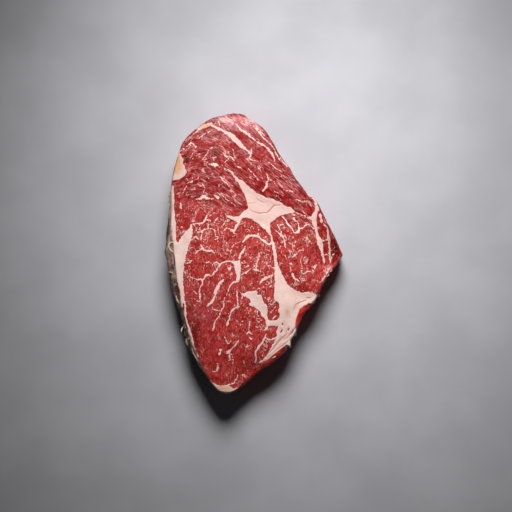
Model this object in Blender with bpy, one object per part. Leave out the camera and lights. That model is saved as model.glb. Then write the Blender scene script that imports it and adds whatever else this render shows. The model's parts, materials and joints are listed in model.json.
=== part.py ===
"""A thick boneless rib-eye steak of raw beef, lying flat, as one solid.

Metres, +Z up. The origin is under the middle of the steak, on the surface it lies on.
+Y runs along the long side, towards the cap muscle, and +X towards the pointed corner.
The steak is a slice: a level cut face on top and below, and a side that bellies out
between them where the fat cap and the silver skin have slumped.
"""

import math

import bmesh
import bpy
import numpy as np

MM = 0.001

# Driving dimensions.
THICKNESS = 31 * MM        # the cut, at the middle of the steak
EDGE_INSET = 2.5 * MM      # how far in from the cut edge the top starts to round over
BELLY_HEIGHT = 0.36        # height of the widest part of the side, as a share of the thickness
CORNER_SHARPNESS = 4.0     # exponent of the superellipse that rounds the cut edges
SAG_ABOVE = 1.6            # exponent of the belly's curve above its widest part: under 2 is slanting
SAG_BELOW = 3.0            # exponent of the belly's curve below its widest part: over 2 is full
GRID_CELLS = 50            # cells along each side of the grid that makes the top
SIDE_ROWS = 9              # rows of faces down the side
HUB = (-4 * MM, 0.0)       # the point that the outline is measured round

# The edge of the top cut face, clockwise from the top: X, Y and how far the side bellies out past it.
CUT_EDGE_MM = [
    (-10, 98.4, 0.8), (-3, 94.3, 0.8), (7.5, 86.5, 0.8), (17.5, 70, 0.8), (30.7, 50, 0.8),
    (38.2, 40, 0.6), (43.5, 37, 0.6), (51.3, 22, 0.8), (61, 3, 0.4), (63.2, -2, 0.2),
    (59, -7.3, 0.8), (48.5, -20.5, 1.6), (44.5, -29, 1.0), (41, -35.5, 1.0), (33.4, -40, 3.6),
    (29.6, -48, 4.0), (27, -58, 2.0), (21, -66, 2.6), (9.5, -75.5, 4.4), (-3, -86.2, 3.2),
    (-12, -95.5, 1.6), (-19, -98.2, 1.2), (-27, -94.6, 1.6), (-33, -86, 2.2), (-42, -70, 3.6),
    (-47.5, -56, 4.2), (-51, -39, 2.6), (-54.6, -20, 6.2), (-57, 2, 6.6), (-59, 28, 1.8),
    (-58.5, 50, 0.8), (-55, 66, 0.8), (-50, 78.7, 1.0), (-38, 89.4, 1.0), (-27, 96.3, 1.0),
]

# Gentle rises and falls of the top: X, Y, reach in X, reach in Y and rise.
SWELLS_MM = {
    "eye muscle": (-20, -22, 24, 40, 1.3),
    "inner muscle": (30, 0, 14, 22, 1.0),
    "cap muscle": (-30, 58, 22, 26, 1.0),
    "outer band": (14, 56, 15, 17, 0.8),
    "pointed corner": (65, -2, 14, 16, -11.0),
    "top rim": (-8, 102, 24, 11, -5.5),
    "lower right rim": (4, -88, 18, 10, -4.5),
    "lower left rim": (-48, -76, 10, 18, -3.5),
    "left rim": (-64, 0, 8, 36, -2.5),
}

# Seams of fat between the muscles, where the top dips: its depth, its half width and its route.
SEAMS_MM = {
    "central fat": (1.0, 7.0, [(-14, 54), (-5, 42), (8, 33), (24, 29)]),
    "inner seam": (1.1, 6.0, [(6, 20), (14, 4), (16, -10), (24, -27), (40, -33)]),
    "left strip": (1.0, 5.5, [(-57, 28), (-54, 2), (-51, -24), (-48, -50)]),
    "right strip": (1.2, 5.5, [(42, 34), (43, 20), (47, 2), (50, -10)]),
    "lower right fat": (1.0, 7.5, [(34, -34), (24, -50), (15, -66), (6, -76)]),
    "eye fleck": (0.7, 6.0, [(-6, -29), (3, -37), (12, -50)]),
    "cap seam": (0.8, 5.5, [(-30, 89), (-16, 82), (-4, 69)]),
    "outer seam": (0.7, 5.5, [(-4, 84), (8, 75), (18, 63)]),
}


def clear_scene():
    for item in list(bpy.data.objects):
        bpy.data.objects.remove(item, do_unlink=True)


def catmull_rom(points, per_span):
    """A closed smooth curve through the points, as an array of per_span rows for each of them."""
    p0, p1, p2, p3 = (np.roll(points, shift, axis=0)[:, None, :] for shift in (1, 0, -1, -2))
    t = np.linspace(0, 1, per_span, endpoint=False)[None, :, None]
    curve = (
        2 * p1
        + (p2 - p0) * t
        + (2 * p0 - 5 * p1 + 4 * p2 - p3) * t**2
        + (3 * p1 - p0 - 3 * p2 + p3) * t**3
    ) / 2
    return curve.reshape(-1, points.shape[1])


class Outline:
    """The cut edge and the belly as functions of the angle round the hub."""

    SAMPLES_PER_SPAN = 24
    SMOOTHING_DEG = 40

    def __init__(self):
        curve = catmull_rom(np.array(CUT_EDGE_MM, float) * MM, self.SAMPLES_PER_SPAN)
        angle = np.arctan2(curve[:, 1] - HUB[1], curve[:, 0] - HUB[0])
        radius = np.hypot(curve[:, 0] - HUB[0], curve[:, 1] - HUB[1])
        order = np.argsort(angle)
        self.angle, self.radius, self.bulge = angle[order], radius[order], curve[order, 2]

    def edge(self, angle):
        return np.interp(angle, self.angle, self.radius, period=2 * math.pi)

    def belly(self, angle):
        return np.interp(angle, self.angle, self.bulge, period=2 * math.pi)

    def calm_edge(self, angle):
        """The edge with its corners averaged away, for the inner lines of the top's grid."""
        turns = np.radians(np.linspace(-self.SMOOTHING_DEG, self.SMOOTHING_DEG, 17))
        return np.mean([self.edge(angle + turn) for turn in turns], axis=0)


def square_to_disc(u, v):
    """Shirley and Chiu's equal-area map from the square [-1, 1]^2 to the unit disc, as radius and angle."""
    wide = np.abs(u) > np.abs(v)
    radius = np.where(wide, u, v)
    safe = np.where(radius == 0, 1, radius)
    angle = np.where(wide, math.pi / 4 * v / safe, math.pi / 2 - math.pi / 4 * u / safe)
    return np.abs(radius), np.where(radius < 0, angle + math.pi, angle)


def distance_to_route(x, y, route):
    """The distance from each point to a route of straight runs."""
    nearest = np.full(np.shape(x), np.inf)
    for (ax, ay), (bx, by) in zip(route, route[1:]):
        run_x, run_y = bx - ax, by - ay
        share = ((x - ax) * run_x + (y - ay) * run_y) / (run_x**2 + run_y**2)
        share = np.clip(share, 0, 1)
        nearest = np.minimum(nearest, np.hypot(x - ax - share * run_x, y - ay - share * run_y))
    return nearest


def top_height(x, y):
    """The height of the top cut face: the thickness, its swells, less a dip along each seam."""
    height = np.full(np.shape(x), THICKNESS)
    for cx, cy, reach_x, reach_y, rise in SWELLS_MM.values():
        away = ((x / MM - cx) / reach_x) ** 2 + ((y / MM - cy) / reach_y) ** 2
        height = height + rise * MM * np.exp(-away)
    for depth, half_width, route in SEAMS_MM.values():
        away = distance_to_route(x / MM, y / MM, route)
        height = height - depth * MM * np.exp(-((away / half_width) ** 2))
    return height


def top_point(outline, u, v):
    """The place on the top for a place on the grid, out to where the edge starts to round over."""
    share, angle = square_to_disc(u, v)
    calm, edge = outline.calm_edge(angle), outline.edge(angle)
    reach = calm + (edge - calm) * share**3 - EDGE_INSET * share
    x = HUB[0] + share * reach * np.cos(angle)
    y = HUB[1] + share * reach * np.sin(angle)
    return x, y, top_height(x, y)


def superellipse(share, exponent):
    """The other coordinate on a superellipse of radius 1."""
    return max(0.0, 1 - abs(share) ** exponent) ** (1 / exponent)


def side_point(outline, angle, row):
    """The place on the side, from the top's rim, round the belly, to the foot: a rounded corner
    out to the cut edge, and on top of that the belly's sag."""
    turn = math.pi / 2 - math.pi * row / SIDE_ROWS
    lift = math.copysign(abs(math.sin(turn)) ** (2 / CORNER_SHARPNESS), turn)
    corner = EDGE_INSET * superellipse(lift, CORNER_SHARPNESS)
    sag = outline.belly(angle) * superellipse(lift, SAG_ABOVE if lift > 0 else SAG_BELOW)
    rim = outline.edge(angle) - EDGE_INSET
    rim_height = top_height(HUB[0] + rim * math.cos(angle), HUB[1] + rim * math.sin(angle))
    widest = rim_height * BELLY_HEIGHT
    height = widest + lift * (rim_height - widest if lift > 0 else widest)
    reach = rim + corner + sag
    return HUB[0] + reach * math.cos(angle), HUB[1] + reach * math.sin(angle), height


def shape_top(mesh, outline):
    for vertex in mesh.verts:
        vertex.co = top_point(outline, vertex.co.x, vertex.co.y)


def pull_down_side(mesh, outline):
    """Extrudes the rim of the top row by row down the side, and returns the last row's edges."""
    rim = [edge for edge in mesh.edges if edge.is_boundary]
    for row in range(1, SIDE_ROWS + 1):
        grown = bmesh.ops.extrude_edge_only(mesh, edges=rim)["geom"]
        rim = [item for item in grown if isinstance(item, bmesh.types.BMEdge) and item.is_boundary]
        for vertex in {vertex for edge in rim for vertex in edge.verts}:
            angle = math.atan2(vertex.co.y - HUB[1], vertex.co.x - HUB[0])
            vertex.co = side_point(outline, angle, row)
    return rim


def meat_material():
    material = bpy.data.materials.new("raw_beef")
    material.use_nodes = True
    shader = material.node_tree.nodes["Principled BSDF"]
    shader.inputs["Base Color"].default_value = (0.36, 0.045, 0.04, 1)
    shader.inputs["Roughness"].default_value = 0.38
    shader.inputs["Metallic"].default_value = 0.0
    return material


def build_steak():
    outline = Outline()
    bpy.ops.mesh.primitive_grid_add(x_subdivisions=GRID_CELLS, y_subdivisions=GRID_CELLS, size=2)
    steak = bpy.context.object
    steak.name = "steak"
    steak.data.name = "steak"
    mesh = bmesh.new()
    mesh.from_mesh(steak.data)
    shape_top(mesh, outline)
    foot = pull_down_side(mesh, outline)
    bmesh.ops.edgeloop_fill(mesh, edges=foot)
    bmesh.ops.recalc_face_normals(mesh, faces=mesh.faces)
    mesh.to_mesh(steak.data)
    mesh.free()
    steak.data.shade_smooth()
    steak.data.set_sharp_from_angle(angle=math.radians(60))
    steak.data.materials.append(meat_material())
    return steak


def main():
    clear_scene()
    collection = bpy.data.collections.new("rib_eye_steak")
    bpy.context.scene.collection.children.link(collection)
    steak = build_steak()
    for home in list(steak.users_collection):
        home.objects.unlink(steak)
    collection.objects.link(steak)


main()
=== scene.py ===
# %% [markdown]
# # A raw rib-eye steak
#
# A rib-eye is a slice sawn straight across a bundle of muscles. The cut face shows each muscle
# as a field of deep red, the fat between the muscles as broad cream seams, and the fat inside
# them as a net of thin veins and flecks, which butchers call marbling. Round the edge the slice
# has slumped a little, and one side still wears its silver skin.
#
# The plain solid comes in already in its place, as a frame for the finer surface built here.

# %% Load the frame
import itertools
import json
import math

import bpy
import numpy as np
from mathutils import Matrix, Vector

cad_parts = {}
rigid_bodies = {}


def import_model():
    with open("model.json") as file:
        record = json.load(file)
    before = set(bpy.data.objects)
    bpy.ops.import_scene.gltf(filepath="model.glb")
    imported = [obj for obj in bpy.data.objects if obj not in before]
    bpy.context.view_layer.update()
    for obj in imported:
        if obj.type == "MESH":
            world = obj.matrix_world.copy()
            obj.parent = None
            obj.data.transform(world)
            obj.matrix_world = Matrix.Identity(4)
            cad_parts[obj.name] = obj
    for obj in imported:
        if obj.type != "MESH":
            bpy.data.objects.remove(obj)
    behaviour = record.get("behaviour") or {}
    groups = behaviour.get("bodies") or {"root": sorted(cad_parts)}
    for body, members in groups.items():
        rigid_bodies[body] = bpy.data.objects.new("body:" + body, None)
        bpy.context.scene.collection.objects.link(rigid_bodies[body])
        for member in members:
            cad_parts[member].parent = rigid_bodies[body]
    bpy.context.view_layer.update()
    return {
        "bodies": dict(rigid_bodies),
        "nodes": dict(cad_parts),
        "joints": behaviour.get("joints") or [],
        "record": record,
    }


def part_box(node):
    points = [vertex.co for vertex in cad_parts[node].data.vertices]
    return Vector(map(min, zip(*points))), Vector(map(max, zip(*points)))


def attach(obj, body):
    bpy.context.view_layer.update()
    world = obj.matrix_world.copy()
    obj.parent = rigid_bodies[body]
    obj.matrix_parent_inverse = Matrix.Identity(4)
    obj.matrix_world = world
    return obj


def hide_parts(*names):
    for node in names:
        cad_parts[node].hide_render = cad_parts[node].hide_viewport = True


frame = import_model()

node_low, node_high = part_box("steak")
THICKNESS = 31.0           # at the middle of the steak; all sizes here are in millimetres
METRES = 0.001             # one millimetre, for everything that is handed to Blender
print("the solid spans", [round((b - a) / METRES, 1) for a, b in zip(node_low, node_high)], "mm")

# %% [markdown]
# ## Helpers for shapes
#
# Three small tools serve the whole lesson. A smooth curve is drawn through a few points with
# Catmull and Rom's formula, because a butcher's cut has no straight runs. A cloud of smooth
# random values gives all unevenness, and since its table is seeded it is the same each time.
# A soft step turns a distance into a mask with a gentle edge.


# %% Curves, clouds and soft steps
def smooth_curve(points, closed, per_span=6):
    """A curve through the points by Catmull and Rom's formula: between two points it is the cubic
    that leaves each of them along the line between its two neighbours."""
    points = np.array(points, float)
    if closed:
        before, start, end, after = (np.roll(points, shift, axis=0) for shift in (1, 0, -1, -2))
    else:
        ends = np.vstack([2 * points[0] - points[1], points, 2 * points[-1] - points[-2]])
        before, start, end, after = ends[:-3], ends[1:-2], ends[2:-1], ends[3:]
    t = np.linspace(0, 1, per_span, endpoint=False)[None, :, None]
    before, start, end, after = (place[:, None, :] for place in (before, start, end, after))
    bend = 2 * before - 5 * start + 4 * end - after
    twist = 3 * start - before - 3 * end + after
    curve = (start + ((end - before) * t + bend * t**2 + twist * t**3) / 2).reshape(-1, points.shape[1])
    return curve if closed else np.vstack([curve, points[-1]])


LATTICE = 64


def cloud(places, size, seed):
    """Smooth random values from -1 to 1: random numbers on a lattice of that cell size, blended
    between the corners of each cell with the curve 3t^2 - 2t^3 along each axis."""
    table = np.random.default_rng(seed).uniform(-1, 1, (LATTICE,) * 3)
    scaled = places / np.asarray(size, float)
    cell = np.floor(scaled).astype(int)
    t = scaled - cell
    t = t * t * (3 - 2 * t)
    value = np.zeros(len(places))
    for corner in itertools.product((0, 1), repeat=3):
        share = np.prod(np.where(corner, t, 1 - t), axis=1)
        i, j, k = ((cell + corner) % LATTICE).T
        value += share * table[i, j, k]
    return value


def soft_step(low, high, value):
    """0 below low and 1 above high, with the curve 3t^2 - 2t^3 between them."""
    t = np.clip((value - low) / (high - low), 0, 1)
    return t * t * (3 - 2 * t)


square = smooth_curve([(0, 0), (1, 0), (1, 1), (0, 1)], closed=True)
print("a curve through four corners has", len(square), "points")

# %% [markdown]
# ## The outline
#
# The steak is egg-shaped, with a blunt end where the cap muscle lies, a pointed corner on the
# right where two cuts met, and a narrow tip. The outline is measured round a hub as a radius
# for each angle, which suits any shape that a hub can see all of. Each point also says how far
# the side bellies out past the cut face, because raw meat sags as it lies.

# %% Outline
CUT_EDGE = [
    (-10, 98.4, 0.8), (-3, 94.3, 0.8), (7.5, 86.5, 0.8), (17.5, 70, 0.8), (30.7, 50, 0.8),
    (38.2, 40, 0.6), (43.5, 37, 0.6), (51.3, 22, 0.8), (61, 3, 0.4), (63.2, -2, 0.2),
    (59, -7.3, 0.8), (49, -20.5, 0.7), (45.6, -29, 0.2), (41.9, -35.5, 0.4), (33.8, -40, 3.4),
    (30, -48, 3.6), (28.6, -57, 0.7), (25.8, -63, 0.5), (25.5, -66.8, 0.3), (23, -66.2, 0.8),
    (20.3, -68.3, 2.4), (10, -76.5, 4.2), (-2.4, -87.3, 3.0), (-8.6, -94.1, 1.6),
    (-13, -98.1, 0.8), (-18.8, -99.9, 0.7), (-25.2, -98.5, 0.7), (-30.2, -92.8, 0.9),
    (-34.6, -85, 2.0), (-42, -70, 3.4), (-47.2, -55, 3.2), (-51.2, -40, 2.8), (-53.7, -28, 4.6),
    (-54.9, -20, 5.4), (-56.2, -8, 5.5), (-57.6, 5, 5.4), (-58.5, 16, 4.6), (-59, 30, 1.9),
    (-58.5, 50, 0.8), (-55, 66, 0.8), (-50, 78.7, 1.0), (-38, 89.4, 1.0), (-27, 96.3, 1.0),
]
HUB = np.array([-4.0, 0.0])
EDGE_INSET = 1.6           # how far in from the cut edge the top starts to round over

outline = smooth_curve(CUT_EDGE, closed=True, per_span=24)
outline_angle = np.arctan2(outline[:, 1] - HUB[1], outline[:, 0] - HUB[0])
outline_radius = np.hypot(outline[:, 0] - HUB[0], outline[:, 1] - HUB[1])


def edge(angle):
    return np.interp(angle, outline_angle, outline_radius, period=2 * math.pi)


def belly(angle):
    return np.interp(angle, outline_angle, outline[:, 2], period=2 * math.pi)


def calm_edge(angle):
    """The edge averaged over 80 degrees, so that the inner lines of a grid don't copy its corners."""
    return np.mean([edge(angle + turn) for turn in np.radians(np.linspace(-40, 40, 17))], axis=0)


print("the cut face is", round(np.ptp(outline[:, 0]), 1), "by", round(np.ptp(outline[:, 1]), 1), "mm")

# %% [markdown]
# ## The height of the top
#
# A cut face is nearly flat, but each muscle swells a little once it is cut and the seams of fat
# between them stay behind, so the top is a low landscape: a level, plus a few wide rises, less
# a dip along each seam.

# %% Rises and dips
SWELLS = {                 # X, Y, reach in X, reach in Y, rise
    "eye muscle": (-20, -22, 24, 40, 1.3),
    "inner muscle": (30, 0, 14, 22, 1.0),
    "cap muscle": (-30, 58, 22, 26, 1.0),
    "outer band": (14, 56, 15, 17, 0.8),
    "pointed corner": (65, -2, 14, 16, -11.0),
    "top rim": (-8, 102, 24, 11, -5.5),
    "lower right rim": (4, -88, 18, 10, -4.5),
    "lower left rim": (-48, -76, 10, 18, -3.5),
    "left rim": (-64, 0, 8, 36, -2.5),
}
DIPS = {                   # depth, half width, route
    "central fat": (1.0, 7.0, [(-14, 54), (-5, 42), (8, 33), (24, 29)]),
    "inner seam": (1.1, 6.0, [(6, 20), (14, 4), (16, -10), (24, -27), (40, -33)]),
    "left strip": (1.0, 5.5, [(-57, 28), (-54, 2), (-51, -24), (-48, -50)]),
    "right strip": (1.2, 5.5, [(42, 34), (43, 20), (47, 2), (50, -10)]),
    "lower right fat": (1.0, 7.5, [(34, -34), (24, -50), (15, -66), (6, -76)]),
    "eye fleck": (0.7, 6.0, [(-6, -29), (3, -37), (12, -50)]),
    "cap seam": (0.8, 5.5, [(-30, 89), (-16, 82), (-4, 69)]),
    "outer seam": (0.7, 5.5, [(-4, 84), (8, 75), (18, 63)]),
}


def along_runs(places, route):
    """The distance from each place to each straight run of a route, and the share of the run
    at which it is nearest."""
    starts, runs = route[:-1, :2], np.diff(route[:, :2], axis=0)
    offset = places[:, None, :] - starts
    share = np.clip((offset * runs).sum(-1) / (runs**2).sum(-1), 0, 1)
    return np.linalg.norm(offset - share[..., None] * runs, axis=-1), share


def top_height(x, y):
    """The level, plus a bell curve for each rise, less a bell curve across each dip."""
    height = np.full(np.shape(x), THICKNESS)
    for centre_x, centre_y, reach_x, reach_y, rise in SWELLS.values():
        height += rise * np.exp(-(((x - centre_x) / reach_x) ** 2) - ((y - centre_y) / reach_y) ** 2)
    places = np.column_stack([x, y])
    for depth, half_width, route in DIPS.values():
        away = along_runs(places, np.array(route, float))[0].min(axis=1)
        height -= depth * np.exp(-((away / half_width) ** 2))
    return height


print("the middle of the steak is", round(top_height(np.zeros(1), np.zeros(1))[0], 2), "mm high")

# %% [markdown]
# ## One closed surface
#
# The steak is a single skin: a fine grid for the top, rings of faces down the side and a
# coarser grid underneath. A square grid bends onto a round face with Shirley and Chiu's map,
# which keeps its cells alike in size, so the surface has no pole in the middle where the
# marbling would smear. Below the rounded rim every second point is dropped, since the side
# shows less detail, and all the triangles together stay under what one piece may hold.

# %% Grid, rings and faces
CELLS = np.array([196, 312])      # cells of the top across and along
ELONGATION = 1.62                 # the steak's length over its width
RIM_ROWS = 6                      # rows as fine as the top
SIDE_ROWS = 20                    # rows half as fine
BELLY_HEIGHT = 0.45               # height of the widest part of the side
CORNER_SHARPNESS = 4.0            # exponent of the superellipse that rounds the cut edges
LEDGE = 0.13                      # share of the height over the belly by which it is full out
LEDGE_BEND = 1.5                  # 1 for a straight slope there, more for a rounder one
SAG_BELOW = 3.0                   # exponent of the belly below its widest: larger is fuller


def square_to_disc(u, v):
    """Shirley and Chiu's map: the radius is the larger of the two coordinates, and the angle is
    the smaller over the larger, in eighths of a turn."""
    wide = np.abs(u) > np.abs(v)
    radius = np.where(wide, u, v)
    safe = np.where(radius == 0, 1, radius)
    angle = np.where(wide, math.pi / 4 * v / safe, math.pi / 2 - math.pi / 4 * u / safe)
    return np.abs(radius), np.where(radius < 0, angle + math.pi, angle)


def face_grid(cells, inset):
    """Places of a level grid inside the outline, as (share of the radius, angle, x, y): near the
    hub the grid follows the calm edge, and towards the rim the true one, as the share cubed."""
    u, v = np.meshgrid(*(np.linspace(-1, 1, count + 1) for count in cells), indexing="ij")
    share, turn = square_to_disc(u.ravel(), v.ravel())
    angle = np.arctan2(ELONGATION * np.sin(turn), np.cos(turn))
    calm = calm_edge(angle)
    reach = share * (calm + (edge(angle) - calm) * share**2 - inset)
    return share, angle, HUB[0] + reach * np.cos(angle), HUB[1] + reach * np.sin(angle)


def grid_ring(cells):
    """The indices round the rim of a grid, counter-clockwise."""
    index = np.arange(np.prod(cells + 1)).reshape(cells + 1)
    return np.concatenate([index[:-1, 0], index[-1, :-1], index[:0:-1, -1], index[0, :0:-1]])


def grid_quads(cells):
    index = np.arange(np.prod(cells + 1)).reshape(cells + 1)
    corners = [index[:-1, :-1], index[1:, :-1], index[1:, 1:], index[:-1, 1:]]
    return np.stack([corner.ravel() for corner in corners], axis=1)


def superellipse(share, exponent):
    """The other coordinate on a superellipse of radius 1."""
    return np.maximum(0, 1 - np.abs(share) ** exponent) ** (1 / exponent)


def sag(lift):
    """The share of the belly: a sloping ledge just under the cut edge, then upright, then a
    superellipse in to the foot."""
    if lift > 0:
        return 1 - max(0, 1 - (1 - lift) / LEDGE) ** LEDGE_BEND
    return superellipse(lift, SAG_BELOW)


def side_lifts():
    """How high each row of the side is, from 1 at the rim through 0 at the widest to -1 at the
    foot: rows of equal length, measured on a side 8 mm deep and 30 mm high."""
    turn = np.linspace(math.pi / 2, -math.pi / 2, 400)
    lift = np.sign(turn) * np.abs(np.sin(turn)) ** (2 / CORNER_SHARPNESS)
    out = 8 * superellipse(lift, CORNER_SHARPNESS)
    length = np.concatenate([[0], np.cumsum(np.hypot(np.diff(out), 15 * np.diff(lift)))])
    fine_marks = np.linspace(0, 5.0, RIM_ROWS + 1)[1:]
    return np.interp([*fine_marks, *np.linspace(5.0, length[-1], SIDE_ROWS + 1)[1:]], length, lift)


def side_ring(angle, lift):
    """A ring of the side: a rounded corner out to the cut edge, and past it the belly's sag."""
    corner = EDGE_INSET * superellipse(lift, CORNER_SHARPNESS)
    rim = edge(angle) - EDGE_INSET
    rim_height = top_height(HUB[0] + rim * np.cos(angle), HUB[1] + rim * np.sin(angle))
    widest = BELLY_HEIGHT * rim_height
    reach = rim + corner + belly(angle) * sag(lift)
    height = widest + lift * (rim_height - widest if lift > 0 else widest)
    return np.column_stack([HUB[0] + reach * np.cos(angle), HUB[1] + reach * np.sin(angle), height])


_, top_angle, top_x, top_y = face_grid(CELLS, EDGE_INSET)
_, foot_angle, foot_x, foot_y = face_grid(CELLS // 2, EDGE_INSET)
blocks = [np.column_stack([top_x, top_y, top_height(top_x, top_y)])]
angles = [top_angle]
rings = [grid_ring(CELLS)]
for row, lift in enumerate(side_lifts()[:-1]):
    ring_angle = top_angle[rings[0]] if row < RIM_ROWS else top_angle[rings[0]][::2]
    rings.append(np.arange(len(ring_angle)) + sum(map(len, blocks)))
    blocks.append(side_ring(ring_angle, lift))
    angles.append(ring_angle)
rings.append(grid_ring(CELLS // 2) + sum(map(len, blocks)))
blocks.append(np.column_stack([foot_x, foot_y, np.zeros(len(foot_x))]))
angles.append(foot_angle)
points, point_angle = np.vstack(blocks), np.concatenate(angles)
print(len(points), "points, of which", len(blocks[0]), "make the top")


# %% [markdown]
# The faces are joined up ring by ring. Where the rings halve, each coarse face meets two fine ones, so
# three triangles fill the gap. Each corner also gets its place on a flat sheet, where the top is laid out
# largest and the side is cut into four strips.

# %% Faces and their layout
TOP_SCALE, REST_SCALE = 0.0049, 0.0027      # sheet widths to a millimetre
STRIPS = 4
COLUMN, STRIP_BASE, STRIP_RISE = 0.64, 0.555, 0.11
corner_points, corner_uvs, face_sizes = [], [], []
centre = (points.min(axis=0) + points.max(axis=0))[:2] / 2


def add_faces(corners, uvs):
    corner_points.append(corners.ravel())
    corner_uvs.append(uvs.reshape(-1, 2))
    face_sizes.append(np.full(len(corners), corners.shape[1]))


def lay_flat(corners, scale, middle):
    return (points[corners][..., :2] - centre) * scale + middle


def add_strip(row, cells):
    """Faces of one row of the side. Each cell lists its corners as (ring, step) pairs, with steps
    counted in coarse columns, and repeats for every column."""
    columns = len(rings[-1])
    for cell in cells:
        base = np.arange(columns)[:, None]
        lines = [rings[row + ring] for ring, _ in cell]
        fine = [len(line) // columns for line in lines]
        steps = np.concatenate([base * f + int(step * f) for f, (_, step) in zip(fine, cell)], axis=1)
        corners = np.stack([line[steps[:, i] % len(line)] for i, line in enumerate(lines)], axis=1)
        strip = base * STRIPS // columns
        along = steps / np.array(fine) - strip * (columns // STRIPS)
        down = np.broadcast_to([row + ring for ring, _ in cell], along.shape) / len(rings)
        u = COLUMN + along * 0.345 / (columns // STRIPS)
        v = STRIP_BASE + STRIP_RISE * (strip + 0.96 * (1 - down))
        add_faces(corners, np.stack([u, v], axis=-1))


top_quads = grid_quads(CELLS)
add_faces(top_quads, lay_flat(top_quads, TOP_SCALE, (0.318, 0.5)))
FINE_LEFT = [(0, 0), (1, 0), (1, 0.5), (0, 0.5)]
FINE_RIGHT = [(0, 0.5), (1, 0.5), (1, 1), (0, 1)]
COARSE = [(0, 0), (1, 0), (1, 1), (0, 1)]
HALVING = ([(0, 0), (1, 0), (0, 0.5)], [(0, 0.5), (1, 0), (1, 1)], [(0, 0.5), (1, 1), (0, 1)])
for row in range(len(rings) - 1):
    if row < RIM_ROWS:
        add_strip(row, (FINE_LEFT, FINE_RIGHT))
    else:
        add_strip(row, HALVING if row == RIM_ROWS else (COARSE,))
foot_quads = grid_quads(CELLS // 2)[:, ::-1] + len(points) - len(blocks[-1])
add_faces(foot_quads, lay_flat(foot_quads, REST_SCALE, (0.82, 0.275)))
triangles = sum(int((sizes - 2).sum()) for sizes in face_sizes)
print(sum(map(len, face_sizes)), "faces make", triangles, "triangles")

# %% [markdown]
# ## Where the fat runs
#
# On the real steak the seams of fat follow the borders between muscles, so they can't come from a random
# pattern: they are drawn one by one, a few points each. A stroke is a route with a width at each point. An
# area is a closed outline. For every point of the surface the script then works out how deep inside the
# nearest stroke or area it lies, and that depth becomes the pattern. A depth keeps its sharp edge however
# far the points are apart.

# %% Broad fat
FAT_AREAS = {
    "left band": [
        (-59, 12), (-58.6, 4), (-57.4, -4), (-56.2, -12), (-54.8, -20), (-53.0, -28), (-52.0, -35),
        (-49.6, -35), (-50.3, -26), (-50.7, -18), (-50, -10), (-48.8, -4), (-47.6, 1), (-46.3, 6),
        (-44.6, 10.5), (-43.6, 13.5), (-44, 17), (-45, 20), (-46.6, 17), (-49, 15), (-51.5, 12),
        (-54.5, 7.5), (-56.3, 11), (-57, 14),
    ],
    "dry patch": [
        (-55.5, 71.5), (-53.3, 70.8), (-51.7, 67.7), (-50.5, 66.1), (-50.9, 63.3), (-49.3, 60.6),
        (-49.5, 59), (-48.1, 57.4), (-48.9, 55.4), (-51.3, 53), (-53.3, 51.9), (-61, 51.2), (-62, 58),
        (-60, 66),
    ],
    "star": [
        (-11.8, 51), (-10.7, 47.6), (-9.3, 44.6), (-7.5, 41.7), (-6, 38), (-5.2, 34), (-5, 31),
        (-7, 29.5), (-9, 27.5), (-11, 26), (-15, 25.5), (-19, 26.5), (-22, 28), (-19, 25),
        (-16, 23.5), (-13, 21.5), (-11, 20), (-9.5, 23.5), (-6, 24.8), (-2, 23.5), (2, 21),
        (5, 18.5), (8, 16), (11, 12), (12.5, 10.5), (11.5, 15), (11, 19), (12, 21.5), (15, 24),
        (20, 26.5), (25, 28), (28, 28.5), (28.5, 30), (26, 32), (23, 32.5), (20, 34.2),
        (16.5, 36), (12.6, 38.2), (6.7, 40), (2, 42.2), (-0.4, 43.6), (-4.5, 47), (-7, 49.8),
        (-9.5, 51.3),
    ],
    "lower right": [
        (17, -9), (19, -15), (21.5, -19.5), (25, -24), (28, -26.5), (32, -28), (36, -28.5),
        (39, -28), (44.5, -29.5), (48, -31), (47, -34), (43, -38), (38, -42), (35, -48),
        (33, -54), (31, -60), (29, -66), (26, -69), (22.5, -69.5), (18, -71), (13.5, -73.5),
        (9.5, -76), (5, -78.3), (1, -80), (3, -78.5),
        (6, -75.8), (8.6, -73), (10.6, -70), (12.4, -66.5), (14, -63.5), (16, -60), (15.7, -56),
        (16, -52.5), (9, -52), (9, -48), (14, -48.5), (17, -47), (17.5, -44), (17, -41),
        (17.5, -37), (16, -35), (14, -33), (14, -30), (14.3, -25), (14.5, -20), (14.4, -14),
    ],
    "eye blob": [
        (-12, -26), (-10, -27.5), (-8, -29), (-6, -28), (-2, -27.5), (2, -27.5), (2, -30),
        (5, -30.5), (6, -33), (7, -36), (9, -39), (9, -45), (9.5, -48), (9, -50.5), (8, -47.5),
        (5.5, -45.5), (4.5, -43), (2, -40.5), (0, -38.5), (-4, -37.5), (-2.5, -35), (-5, -32.5),
        (-8, -30.5),
    ],
    "eye triangle": [
        (-15, -7), (-11, -5.5), (-10.3, -4), (-10, -12), (-10, -17), (-10.5, -20), (-13.5, -21),
        (-12.5, -16), (-14, -11),
    ],
    "tip cap": [
        (-31.5, -90.5), (-28, -93.4), (-23.4, -94.8), (-18.8, -94.8), (-16.3, -96),
        (-13.8, -96.6), (-11, -95.6), (-9.5, -96), (-12, -101), (-22, -104), (-32, -99),
    ],
}
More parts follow.
